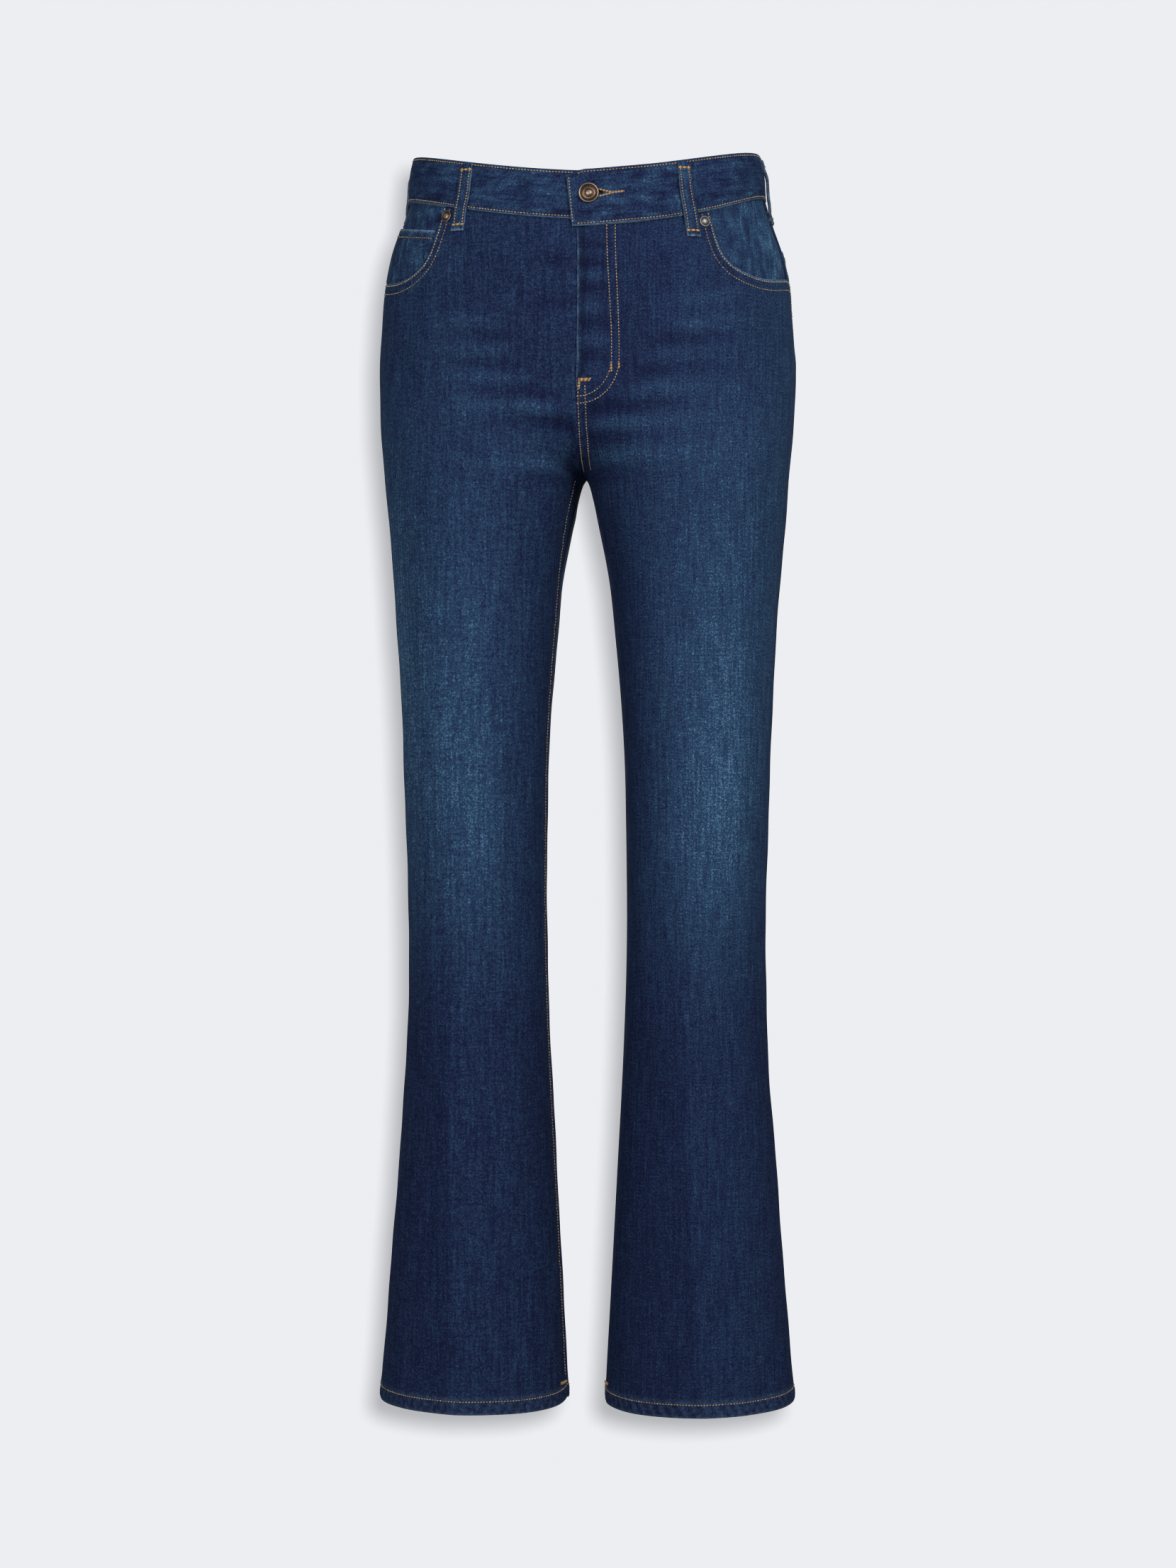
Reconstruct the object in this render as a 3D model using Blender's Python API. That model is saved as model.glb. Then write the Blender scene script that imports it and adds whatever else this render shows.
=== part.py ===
"""Five-pocket jeans with a bootcut leg, filled out with no wearer, as the pieces a maker sews together.

Metres, +Z up, front towards -Y, +X towards the wearer's left. The origin is the middle of the
waistband ring, where the garment is held up.

Every piece lies on one form, the outer face of the cloth. A place on it is (around, z): around is 0
at the centre front or the inside leg seam, 1 at the side seam and 2 at the centre back, and z is
the height. A half is LEFT (+X, the wearer's left) or RIGHT.
"""

import math
from collections import namedtuple

import bmesh
import bpy
import numpy as np

LEFT, RIGHT = 1, -1

# Cloth and seams
CLOTH = 0.0012  # one layer of denim
DOUBLE_CLOTH = 0.0024  # a folded waistband, or the turned-up hem
LOOP_CLOTH = 0.0016
SEAM_GAP = 0.0003  # between the edges of two pieces that are sewn together
LAYER_GAP = 0.0003  # between two layers that lie on each other
PATCH_GAP = 0.0008  # under a patch on a rounded panel, whose facets dip towards it

# Heights
CROTCH_Z = -0.255
THIGH_MERGE = 0.100  # height above the crotch over which the thighs merge into the trunk
MERGE_NEAR_SEAM = 3.3  # how near the middle seam the merging keeps, as a power
MERGE_SOFTNESS = 0.6  # how gently it starts away from the middle seam
JOIN_Z = -0.210  # below this the panels' rows are level
HEM_Z = -1.0293
HEM_DEPTH = 0.012
HEM_PROUD = 0.0004  # how far the turned-up hem stands out
HEM_DIP_TOP = -0.88  # the rows above this are level
HEM_DIP = 0.0072  # how much lower the hem is in front than at the side

# The waistband's top edge, and its height
TOP_FRONT_Z = -0.0088
TOP_SIDE_Z = 0.0160
TOP_BACK_Z = 0.0220
BAND_FRONT_HEIGHT = 0.0405
BAND_SIDE_HEIGHT = 0.0375
BAND_CLEAR = 0.0003  # between its lower edge and the waist seam
BAND_PROUD = 0.0006  # how far the band stands out from the panels below it
LAP_DROP = 0.0068  # how much deeper the lapping end is at the centre front
LAP_LIFT = 0.0028  # how far the lapping end lies outside the other one
LAP_END_TOP = -0.0085  # where the lap ends, across from the centre front
LAP_END_BOTTOM = -0.0029
UNDER_END = 0.022  # how far the end underneath reaches past the centre front

# The fly
FLY_BOTTOM_Z = -0.186
FLY_FADE = 0.024  # over which the lift dies away below the fly
UNDERLAP_BOTTOM_Z = -0.168
FLY_LIFT = 0.0019
FLY_WIDTH = 0.018  # of the stretch that is lifted in full
FLY_SLOPE = 0.034  # over which the lift dies away
UNDERLAP = 0.010

# Front pockets
POCKET_START = {LEFT: 0.452, RIGHT: 0.490}  # where the scoop leaves the waist seam, as around
POCKET_LOW_Z = -0.0955  # the scoop's lowest line
POCKET_SIDE_RISE = 0.0070  # how much higher it is where it meets the side seam
POCKET_SQUARE = 4.4  # how square the scoop is, 2 being an ellipse
FACING_SINK = CLOTH + 0.0007  # how far its face lies inside the form
FACING_TUCK = 0.0007  # and how much deeper it lies behind the side seam
FACING_REACH = 0.012  # how far the facing runs under the front
COIN_TOP_Z = -0.0413  # of the coin pocket's fold, at the side seam
COIN_TOP_SLOPE = 0.0245  # how much lower the fold is per unit of around, towards the front

# Yoke and back pockets
YOKE_SIDE = 0.016  # height of the yoke at the side seam
YOKE_BACK = 0.062  # and at the centre back
BACK_POCKET_AROUND = 1.45  # of the pocket's middle
BACK_POCKET_BELOW_YOKE = 0.012
BACK_POCKET_TOP = 0.144
BACK_POCKET_BOTTOM = 0.120
BACK_POCKET_SIDE = 0.122
BACK_POCKET_POINT = 0.020
BACK_POCKET_TILT = math.radians(3.0)
BACK_POCKET_LIFT = 0.0011

# Belt loops
LOOP_WIDTH = 0.011
LOOP_STAND = 0.0025  # how far a loop stands off the band
LOOP_BELOW_BAND = 0.0185
LOOP_BELOW_TOP = 0.0018
LOOP_FLAT_END = 0.006

# Button and rivets
BUTTON_X = 0.0102
BUTTON_Z = -0.0290
BUTTON_RADIUS = 0.0085
SHANK_RADIUS = 0.0013
HOLE_LEFT, HOLE_RIGHT = 0.006, 0.022  # ends of the buttonhole, across from the centre front
HOLE_HEIGHT = 0.0036
RIVET_RADIUS = 0.00475

# Pressed creases, front and back of each leg
CREASE_HEIGHT = 0.0040
CREASE_WIDTH = 0.060
CREASE_TOP_Z = -0.600
CREASE_FULL_Z = -0.850
CreasePlace = namedtuple("CreasePlace", "z left right")  # where the front creases run, as around
CREASE_PLACES = (
    CreasePlace(-0.600, 0.462, 0.550),
    CreasePlace(-0.745, 0.478, 0.560),
    CreasePlace(-0.920, 0.503, 0.533),
    CreasePlace(-1.030, 0.515, 0.520),
)

CALM_EDGE = 0.08  # folds die away this near the middle seams, as around
FLAT_SCALE = 0.24  # metres of cloth for one unit of around, near enough to measure folds with

# The section at each height: how far the side is from the middle, where the front and the back
# are, how far back the side seam and the inside of the leg lie, and how square the section is.
Level = namedtuple("Level", "z side front back seam inside square")
LEVELS = (
    Level(0.040, 0.1405, -0.0960, 0.0965, 0.000, -0.012, 2.30),
    Level(0.000, 0.1490, -0.0985, 0.0990, 0.000, -0.012, 2.30),
    Level(-0.022, 0.1510, -0.1000, 0.1020, 0.000, -0.012, 2.30),
    Level(-0.042, 0.1570, -0.1025, 0.1060, 0.000, -0.012, 2.30),
    Level(-0.065, 0.1650, -0.1050, 0.1120, 0.001, -0.012, 2.30),
    Level(-0.090, 0.1705, -0.1070, 0.1200, 0.003, -0.012, 2.30),
    Level(-0.125, 0.1737, -0.1080, 0.1310, 0.004, -0.012, 2.30),
    Level(-0.160, 0.1758, -0.1075, 0.1360, 0.005, -0.012, 2.30),
    Level(-0.210, 0.1746, -0.1040, 0.1300, 0.005, -0.012, 2.28),
    Level(-0.255, 0.1706, -0.0990, 0.1150, 0.004, -0.010, 2.24),
    Level(-0.293, 0.1674, -0.0945, 0.1050, 0.003, -0.009, 2.20),
    Level(-0.341, 0.1632, -0.0890, 0.0980, 0.002, -0.008, 2.20),
    Level(-0.389, 0.1597, -0.0850, 0.0930, 0.001, -0.006, 2.20),
    Level(-0.485, 0.1551, -0.0780, 0.0860, 0.000, -0.004, 2.15),
    Level(-0.605, 0.1515, -0.0695, 0.0820, 0.000, -0.002, 2.10),
    Level(-0.653, 0.1507, -0.0660, 0.0835, 0.000, -0.001, 2.10),
    Level(-0.749, 0.1536, -0.0655, 0.0845, 0.000, 0.000, 2.10),
    Level(-0.845, 0.1608, -0.0660, 0.0830, 0.000, 0.000, 2.10),
    Level(-0.941, 0.1681, -0.0670, 0.0800, 0.000, 0.000, 2.10),
    Level(-1.025, 0.1753, -0.0680, 0.0780, 0.000, 0.000, 2.10),
    Level(-1.060, 0.1780, -0.0680, 0.0780, 0.000, 0.000, 2.10),
)

# How far the inside of each leg is from the middle.
InsideLeg = namedtuple("InsideLeg", "z inner")
INSIDE_LEG = (
    InsideLeg(-0.2550, 0.0000),
    InsideLeg(-0.2580, 0.0022),
    InsideLeg(-0.2630, 0.0042),
    InsideLeg(-0.2700, 0.0060),
    InsideLeg(-0.2930, 0.0108),
    InsideLeg(-0.3410, 0.0201),
    InsideLeg(-0.3890, 0.0252),
    InsideLeg(-0.4370, 0.0294),
    InsideLeg(-0.4850, 0.0324),
    InsideLeg(-0.5570, 0.0340),
    InsideLeg(-0.6530, 0.0342),
    InsideLeg(-0.7490, 0.0309),
    InsideLeg(-0.8450, 0.0258),
    InsideLeg(-0.9410, 0.0207),
    InsideLeg(-1.0250, 0.0162),
    InsideLeg(-1.0600, 0.0150),
)
INSEAM_FORWARD = math.radians(9.0)  # how far in front of the inside of the leg its seam runs
INSEAM_FORWARD_LOW = math.radians(4.0)  # and below the knee

# The largest soft folds: where each starts and ends, its half-width and its height, in metres.
Fold = namedtuple("Fold", "half around z end_around end_z width height")
FOLDS = (
    Fold(LEFT, 0.06, -0.232, 0.56, -0.192, 0.020, -0.0028),
    Fold(LEFT, 0.12, -0.275, 0.66, -0.245, 0.022, 0.0022),
    Fold(RIGHT, 0.05, -0.238, 0.60, -0.200, 0.020, -0.0026),
    Fold(RIGHT, 0.14, -0.280, 0.58, -0.248, 0.022, 0.0024),
    Fold(LEFT, 1.92, -0.270, 1.35, -0.232, 0.024, -0.0026),
    Fold(RIGHT, 1.94, -0.264, 1.40, -0.238, 0.024, -0.0028),
    Fold(LEFT, 1.90, -0.600, 1.20, -0.585, 0.024, -0.0030),
    Fold(RIGHT, 1.88, -0.612, 1.22, -0.590, 0.024, -0.0028),
    Fold(LEFT, 1.85, -0.668, 1.15, -0.650, 0.026, -0.0024),
    Fold(RIGHT, 1.86, -0.664, 1.18, -0.656, 0.026, -0.0026),
)

# Rows and columns of the solids' grids
SCOOP_STEPS = (0.0, 0.004, 0.03, 0.09, 0.20, 0.36, 0.52, 0.68, 0.84, 1.0)
COIN_STEPS = (0.03, 0.07, 0.12, 0.20, 0.36, 0.52, 0.68, 0.84, 1.0)
COIN_CLEAR = 0.0060  # how far the coin pocket keeps from the scoop at its front end, as around
PANEL_COLUMNS = 10
PATCH_ROWS = 9
SEAT_LEVELS = (-0.221, -0.232, -0.242, -0.250)
LEG_LEVELS = (-0.256, -0.262, -0.270, -0.280, -0.294, -0.316)
LEG_STEP = 0.042

DENIM = (0.020, 0.034, 0.075)
DENIM_WORN = (0.034, 0.058, 0.110)
COPPER = (0.115, 0.070, 0.045)
PEWTER = (0.160, 0.150, 0.140)


def ramp(share):
    """Rises smoothly from 0 to 1 as share does."""
    share = np.clip(share, 0.0, 1.0)
    return share * share * (3.0 - 2.0 * share)


def read(table, name, z):
    """One column of a table of heights at any z, as a smooth curve through its rows."""
    rows = sorted(table)
    heights = np.array([row.z for row in rows])
    values = np.array([getattr(row, name) for row in rows])
    slopes = np.gradient(values, heights)
    low = np.clip(np.searchsorted(heights, z) - 1, 0, len(rows) - 2)
    span = heights[low + 1] - heights[low]
    s = np.clip((z - heights[low]) / span, 0.0, 1.0)
    start, end = values[low], values[low + 1]
    pull_start, pull_end = slopes[low] * span, slopes[low + 1] * span
    return (
        start * (1 + 2 * s) * (1 - s) ** 2
        + pull_start * s * (1 - s) ** 2
        + end * s * s * (3 - 2 * s)
        - pull_end * s * s * (1 - s)
    )


def form(around, z):
    """Points of the +X half of the form, with no crease in it."""
    around, z = np.broadcast_arrays(np.asarray(around, float), np.asarray(z, float))
    side, front, back, seam, inside, square = (
        read(LEVELS, name, z) for name in Level._fields[1:]
    )
    inner = read(INSIDE_LEG, "inner", z)
    rise = np.clip((z - CROTCH_Z) / THIGH_MERGE, 0.0, 1.0)
    centre = 0.5 * (side + inner) * (1.0 - ramp(rise))
    # Above the crotch each thigh is cut by the middle plane, further out the higher it is.
    cut = (1.0 - rise) ** 2
    cut_angle = math.pi - np.arccos(np.clip(cut, 0.0, 1.0) ** (square / 2.0))
    below = CROTCH_Z - z
    forward = INSEAM_FORWARD + (INSEAM_FORWARD_LOW - INSEAM_FORWARD) * ramp(below / 0.35)
    forward = forward * ramp(below / 0.05)
    # The turn from the side seam spreads evenly over the half, and bends to the cut near its end.
    forward = np.where(around <= 1.0, -forward, forward)
    even_end = math.pi - 0.5 * math.pi * ramp(rise) + forward
    end = np.where(below > 0, even_end, cut_angle)
    share = np.abs(1.0 - around)
    turn = even_end * share + (end - even_end) * share**MERGE_NEAR_SEAM
    turn = np.where(around <= 1.0, turn, -turn)
    across, along = np.cos(turn), np.sin(turn)
    reach = np.abs(across) ** (2.0 / square)
    in_trunk = (across < 0) & (below <= 0)
    to_middle = np.where(in_trunk, np.minimum(reach / np.maximum(cut, 1e-6), 1.0), reach)
    inner_half = np.where(below > 0, centre - inner, centre)
    half = np.where(across >= 0, side - centre, -inner_half)
    x = centre + half * to_middle
    late = MERGE_SOFTNESS * (1.0 - to_middle) * (1.0 - rise) ** 2
    cut_here = 1.0 - (1.0 - cut) * rise / np.maximum(rise + late, 1e-9)
    flat = np.where(in_trunk, to_middle * cut_here, reach)
    middle = np.where(across >= 0, seam, inside)
    depth = np.where(along >= 0, front - middle, back - middle)
    y = middle + depth * np.maximum(1.0 - flat**square, 0.0) ** (1.0 / square)
    return np.stack([x, y, z], axis=-1)


def outward(around, z):
    """Unit normals of the +X half, pointing out of the garment."""
    small_around, small_z = 1e-3, 2e-3
    ahead, behind = np.minimum(around + small_around, 2.0), np.maximum(around - small_around, 0.0)
    round_it = form(ahead, z) - form(behind, z)
    up_it = form(around, z + small_z) - form(around, z - small_z)
    normal = np.cross(round_it, up_it)
    return normal / np.linalg.norm(normal, axis=-1, keepdims=True)


def crease(half, around, z):
    """Height of the pressed creases down the front and the back of a leg."""
    place = read(CREASE_PLACES, "left" if half == LEFT else "right", z)
    front = np.abs(around - place) * FLAT_SCALE
    back = np.abs(around - (2.0 - place)) * FLAT_SCALE
    away = np.minimum(front, back) / CREASE_WIDTH
    strength = ramp((CREASE_TOP_Z - z) / (CREASE_TOP_Z - CREASE_FULL_Z))
    return CREASE_HEIGHT * strength * np.clip(1.0 - away, 0.0, 1.0) ** 2.2


def fold_height(fold, around, z):
    """Height of one soft fold, which fades from its start to its end."""
    along = np.array([(fold.end_around - fold.around) * FLAT_SCALE, fold.end_z - fold.z])
    place = np.stack([(around - fold.around) * FLAT_SCALE, z - fold.z], axis=-1)
    share = np.clip(place @ along / (along @ along), -0.15, 1.0)
    off = np.linalg.norm(place - share[..., None] * along, axis=-1)
    fade = ramp((share + 0.15) / 0.3) * (1.0 - ramp(share))
    return fold.height * fade * np.exp(-((off / fold.width) ** 2))


def relief(half, around, z):
    """How far creases and folds raise the form at a place."""
    folds = sum(fold_height(fold, around, z) for fold in FOLDS if fold.half == half)
    return crease(half, around, z) + folds * ramp(around / CALM_EDGE) * ramp((2.0 - around) / CALM_EDGE)


def surface(half, around, z, lift=0.0):
    """Points that stand lift outside the form. An around below 0 or over 2 is past the middle."""
    around, z, lift = np.broadcast_arrays(*(np.asarray(v, float) for v in (around, z, lift)))
    over = 2.0 - np.abs(2.0 - np.abs(around))
    height = lift + relief(half, over, z)
    points = form(over, z) + outward(over, z) * height[..., None]
    points[..., 0] *= np.where((around < 0) | (around > 2), -half, half)
    return points


def around_at(x, z):
    """The around of a place in front that is x across from the centre front, at a height."""
    tries = np.linspace(0.0, 1.0, 801)
    place = float(np.interp(abs(x), form(tries, z)[:, 0], tries))
    return math.copysign(place, x)


def seam_step(around, z, distance):
    """How much around changes over a distance along the cloth."""
    small = 0.004
    inside = min(max(around, small), 2.0 - small)
    run = np.linalg.norm(form(inside + small, z) - form(inside - small, z)) / (2.0 * small)
    return distance / float(run)


def waist_share(around):
    """How far up from the centre front towards the side the waist has risen."""
    share = np.clip(np.abs(around), 0.0, 1.0)
    return 0.4 * np.sin(0.5 * math.pi * share) + 0.6 * ramp(share)


def band_height(around):
    """Height of the waistband, without the lap's extra depth."""
    return BAND_FRONT_HEIGHT + (BAND_SIDE_HEIGHT - BAND_FRONT_HEIGHT) * waist_share(around)


def waist_top(around):
    """Height of the waistband's top edge."""
    share = waist_share(around)
    front = TOP_FRONT_Z + (TOP_SIDE_Z - TOP_FRONT_Z) * share
    rise = np.sin(0.5 * math.pi * np.clip(around - 1.0, 0.0, 1.0)) ** 2
    return front + (TOP_BACK_Z - TOP_SIDE_Z) * rise


def lap_drop(around):
    """How much lower the waist seam is on the lapping side."""
    return LAP_DROP * (1.0 - ramp((np.abs(around) - 0.25) / 0.75))


def waist_seam(half, around):
    """Height of the seam under the waistband."""
    around = np.asarray(around, float)
    drop = lap_drop(around) if half == LEFT else 0.0
    return waist_top(np.abs(around)) - band_height(around) - drop


def yoke_seam(half, around):
    """Height of the seam under the yoke."""
    share = np.asarray(around, float) - 1.0
    return waist_seam(half, around) - YOKE_SIDE - (YOKE_BACK - YOKE_SIDE) * share**1.15


def scoop_z(half, around):
    """Height of the front pocket's edge."""
    start = POCKET_START[half]
    top = waist_seam(half, start)
    share = np.clip((1.0 - around) / (1.0 - start), 0.0, 1.0)
    fall = (1.0 - share**POCKET_SQUARE) ** (1.0 / POCKET_SQUARE)
    return top - (top - POCKET_LOW_Z) * fall + POCKET_SIDE_RISE * ramp((around - 0.62) / 0.38)


def scoop(half, share):
    """A place on the edge of the front pocket: share is 0 at the waist seam, 1 at the side seam."""
    around = POCKET_START[half] + (1.0 - POCKET_START[half]) * share
    return around, float(scoop_z(half, around))


def material(name, colour, roughness, metallic=0.0):
    """A plain material for one piece."""
    made = bpy.data.materials.new(name)
    made.use_nodes = True
    shader = made.node_tree.nodes["Principled BSDF"]
    shader.inputs["Base Color"].default_value = (*colour, 1.0)
    shader.inputs["Roughness"].default_value = roughness
    shader.inputs["Metallic"].default_value = metallic
    return made


def add_object(name, mesh, colour, roughness=0.9, metallic=0.0):
    """Puts a mesh in the scene as one named piece with its own material."""
    mesh.materials.append(material(name + "_finish", colour, roughness, metallic))
    piece = bpy.data.objects.new(name, mesh)
    bpy.context.scene.collection.objects.link(piece)
    return piece


def wall(name, outer, inner, colour=DENIM, kept=None):
    """A sheet of cloth between two grids of points, closed at its edges and at the cells left out."""
    rows, columns = outer.shape[:2]
    if kept is None:
        kept = np.ones((rows - 1, columns - 1), bool)
    mesh = bpy.data.meshes.new(name)
    bm = bmesh.new()
    faces = [[bm.verts.new(p) for p in grid.reshape(-1, 3)] for grid in (outer, inner)]

    def is_kept(row, column):
        return 0 <= row < rows - 1 and 0 <= column < columns - 1 and kept[row, column]

    for row in range(rows - 1):
        for column in range(columns - 1):
            if not kept[row, column]:
                continue
            corner = row * columns + column
            ring = (corner, corner + columns, corner + columns + 1, corner + 1)
            bm.faces.new([faces[0][i] for i in ring])
            bm.faces.new([faces[1][i] for i in reversed(ring)])
            beside = ((row, column - 1), (row + 1, column), (row, column + 1), (row - 1, column))
            for i, neighbour in enumerate(beside):
                if not is_kept(*neighbour):
                    a, b = ring[i], ring[(i + 1) % 4]
                    bm.faces.new((faces[0][b], faces[0][a], faces[1][a], faces[1][b]))
    loose = [vert for vert in bm.verts if not vert.link_faces]
    bmesh.ops.delete(bm, geom=loose, context="VERTS")
    bmesh.ops.recalc_face_normals(bm, faces=bm.faces)
    bm.to_mesh(mesh)
    bm.free()
    mesh.shade_smooth()
    mesh.set_sharp_from_angle(angle=math.radians(50))
    return add_object(name, mesh, colour)


def cloth_wall(name, half, around, z, lift=0.0, thickness=CLOTH, colour=DENIM):
    """A piece of cloth on the form, from the places of its grid."""
    outer = surface(half, around, z, lift)
    inner = surface(half, around, z, lift - thickness)
    return wall(name, outer, inner, colour)


def level_rows():
    """Heights of the level rows below the patch, down to the hem."""
    first, last = LEG_LEVELS[-1], HEM_Z + HEM_DEPTH
    steps = round((first - last) / LEG_STEP)
    legs = [first + (last - first) * i / steps for i in range(1, steps + 1)]
    return [*SEAT_LEVELS, *LEG_LEVELS, *legs, HEM_Z]


def hem_dip(around):
    """How much lower the hem is than at the seams. It dips most at the front and the back."""
    from_middle = np.minimum(around, 2.0 - around)
    return HEM_DIP * np.sin(math.pi * from_middle**0.75) ** 0.8


def panel_places(top_around, top_z, low_around):
    """Places of a panel's grid: a patch from its top edge to JOIN_Z, then level rows to the hem."""
    around, z = [], []
    for row in range(PATCH_ROWS + 1):
        share = row / PATCH_ROWS
        around.append(top_around + (low_around - top_around) * ramp(share))
        z.append(top_z + (JOIN_Z - top_z) * share)
    for height in level_rows():
        around.append(low_around)
        z.append(height - hem_dip(low_around) * ramp((HEM_DIP_TOP - height) / 0.14))
    return np.array(around), np.array(z)


def panel_wall(name, half, around, z, lift=0.0):
    """A panel of one layer, doubled where its hem is turned up."""
    hem = z < HEM_Z + HEM_DEPTH + 0.001
    outer_lift = lift + HEM_PROUD * hem
    outer = surface(half, around, z, outer_lift)
    inner = surface(half, around, z, outer_lift - np.where(hem, DOUBLE_CLOTH, CLOTH))
    return wall(name, outer, inner)


def edge_seams(around, z, first, last):
    """Moves a grid's first and last columns half a seam gap into the panel."""
    for row in range(len(around)):
        if first:
            around[row, 0] += seam_step(around[row, 0], z[row, 0], SEAM_GAP / 2)
        if last:
            around[row, -1] -= seam_step(around[row, -1], z[row, -1], SEAM_GAP / 2)


def fly_lift(around, z):
    """How far the lapping front is lifted over the other one beside the fly."""
    across = form(np.abs(around), z)[..., 0]
    beside = 1.0 - ramp((across - FLY_WIDTH) / FLY_SLOPE)
    return FLY_LIFT * beside * (1.0 - ramp((FLY_BOTTOM_Z - z) / FLY_FADE))


def build_front(half):
    """One front panel, from the waist seam and the pocket's edge to the hem."""
    fly = [0.0, around_at(0.018, -0.06), around_at(0.046, -0.06)]
    start = POCKET_START[half]
    edge = [scoop(half, share) for share in SCOOP_STEPS]
    top_around = np.array(fly + [0.5 * (fly[-1] + start)] + [place[0] for place in edge])
    seam = waist_seam(half, top_around[:4]) - SEAM_GAP / 2
    top_z = np.concatenate([seam, [place[1] - SEAM_GAP / 2 for place in edge]])
    low_around = np.linspace(0.0, 1.0, len(top_around))
    around, z = panel_places(top_around, top_z, low_around)
    edge_seams(around, z, True, True)
    lift = np.zeros_like(z)
    if half == LEFT:
        lift = fly_lift(around, z)
    else:
        for row in range(len(z)):
            if z[row, 0] > UNDERLAP_BOTTOM_Z:
                around[row, 0] = around_at(-UNDERLAP, z[row, 0])
    return panel_wall("front_left" if half == LEFT else "front_right", half, around, z, lift)


def build_back(half):
    """One back panel, from the yoke seam to the hem."""
    top_around = np.linspace(1.0, 2.0, PANEL_COLUMNS)
    around, z = panel_places(top_around, yoke_seam(half, top_around) - SEAM_GAP / 2, top_around)
    edge_seams(around, z, True, True)
    return panel_wall("back_left" if half == LEFT else "back_right", half, around, z)


def build_yoke(half):
    """The shaped strip between the waistband and the back panel."""
    around = np.linspace(1.0, 2.0, PANEL_COLUMNS)
    share = np.linspace(0.0, 1.0, 5)[:, None]
    top, bottom = waist_seam(half, around) - SEAM_GAP / 2, yoke_seam(half, around) + SEAM_GAP / 2
    z = top + (bottom - top) * share
    around = np.tile(around, (5, 1))
    edge_seams(around, z, True, True)
    return cloth_wall("yoke_left" if half == LEFT else "yoke_right", half, around, z)


def band_place(along):
    """Half and around of a place along the waistband: 0 is the lapping centre front, 4 the other."""
    if along < 0.0:
        return RIGHT, -along
    if along <= 2.0:
        return LEFT, along
    if along <= 4.0:
        return RIGHT, 4.0 - along
    return LEFT, along - 4.0


def build_waistband():
    """One strip from the lapping end round the back to the end underneath, with the buttonhole."""
    hole = [around_at(HOLE_LEFT, BUTTON_Z), around_at(HOLE_RIGHT, BUTTON_Z)]
    calm = around_at(0.075, -0.03)
    lap = [0.0, 0.5 * hole[0], *hole, 0.5 * (hole[1] + calm), calm]
    ends = [*np.linspace(calm, 2.0, 18)[1:], *np.linspace(2.0, 4.0 - 0.12, 18)[1:]]
    last = 4.0 + around_at(UNDER_END, -0.03)
    alongs = lap + ends + [4.0, last]
    deep = float(band_height(0.0)) + LAP_DROP - BAND_CLEAR
    middle = 0.5 * HOLE_HEIGHT / deep
    centre_share = (float(waist_top(around_at(BUTTON_X, BUTTON_Z))) - BUTTON_Z) / deep
    shares = [0.0, 0.5 * (centre_share - middle), centre_share - middle, centre_share + middle]
    shares += [0.5 * (1.0 + centre_share + middle), 1.0]
    outer = np.zeros((len(shares), len(alongs), 3))
    inner = np.zeros_like(outer)
    for row, share in enumerate(shares):
        for column, along in enumerate(alongs):
            if column == 0:
                end = LAP_END_TOP + (LAP_END_BOTTOM - LAP_END_TOP) * share
                along = around_at(end, BUTTON_Z)
            half, around = band_place(along)
            top = float(waist_top(around))
            lapping = along < 2.0
            drop = float(lap_drop(around)) if lapping else 0.0
            z = top - share * (float(band_height(around)) + drop - BAND_CLEAR)
            across = float(form(around, z)[0])
            lift = BAND_PROUD
            if along < 1.0:
                lift += LAP_LIFT * (1.0 - float(ramp((across - 0.028) / 0.045)))
            outer[row, column] = surface(half, around, z, lift)
            inner[row, column] = surface(half, around, z, lift - DOUBLE_CLOTH)
    kept = np.ones((len(shares) - 1, len(alongs) - 1), bool)
    kept[2, 2] = False
    return wall("waistband", outer, inner, DENIM_WORN, kept)


def build_facing(half):
    """The piece that shows inside the front pocket. It runs a little under what meets it."""
    start = POCKET_START[half]
    reach = seam_step(start, -0.05, FACING_REACH)
    behind = seam_step(1.0, -0.05, 0.008)
    around = np.linspace(start - reach, 1.0 + behind, 12)
    share = np.linspace(0.0, 1.0, 8)[:, None]
    top = waist_seam(half, around) - SEAM_GAP
    edge = scoop_z(half, np.clip(around, start, 1.0))
    bottom = np.minimum(edge - FACING_REACH, top - 0.020)
    z = top + (bottom - top) * share
    around = np.tile(around, (8, 1))
    tuck = np.maximum(ramp((around - 0.97) / 0.03), ramp((edge + 0.005 - z) / 0.006))
    name = "pocket_facing_left" if half == LEFT else "pocket_facing_right"
    lift = -FACING_SINK - FACING_TUCK * tuck
    return cloth_wall(name, half, around, z, lift, colour=DENIM_WORN)


def build_coin_pocket():
    """The small pocket on the right facing, between its fold and the edge of the scoop."""
    edge = [scoop(RIGHT, share) for share in COIN_STEPS]
    around = np.array([place[0] for place in edge])
    bottom = np.array([place[1] for place in edge]) + 2 * SEAM_GAP
    around = around + COIN_CLEAR * (1.0 - ramp(np.array(COIN_STEPS) / 0.5))
    top = COIN_TOP_Z - COIN_TOP_SLOPE * (1.0 - around)
    share = np.linspace(0.0, 1.0, 5)[:, None]
    z = top + (bottom - top) * share
    around = np.tile(around, (5, 1))
    edge_seams(around, z, False, True)
    lift = -FACING_SINK + PATCH_GAP + CLOTH
    return cloth_wall("coin_pocket", RIGHT, around, z, lift, colour=DENIM_WORN)


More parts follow.
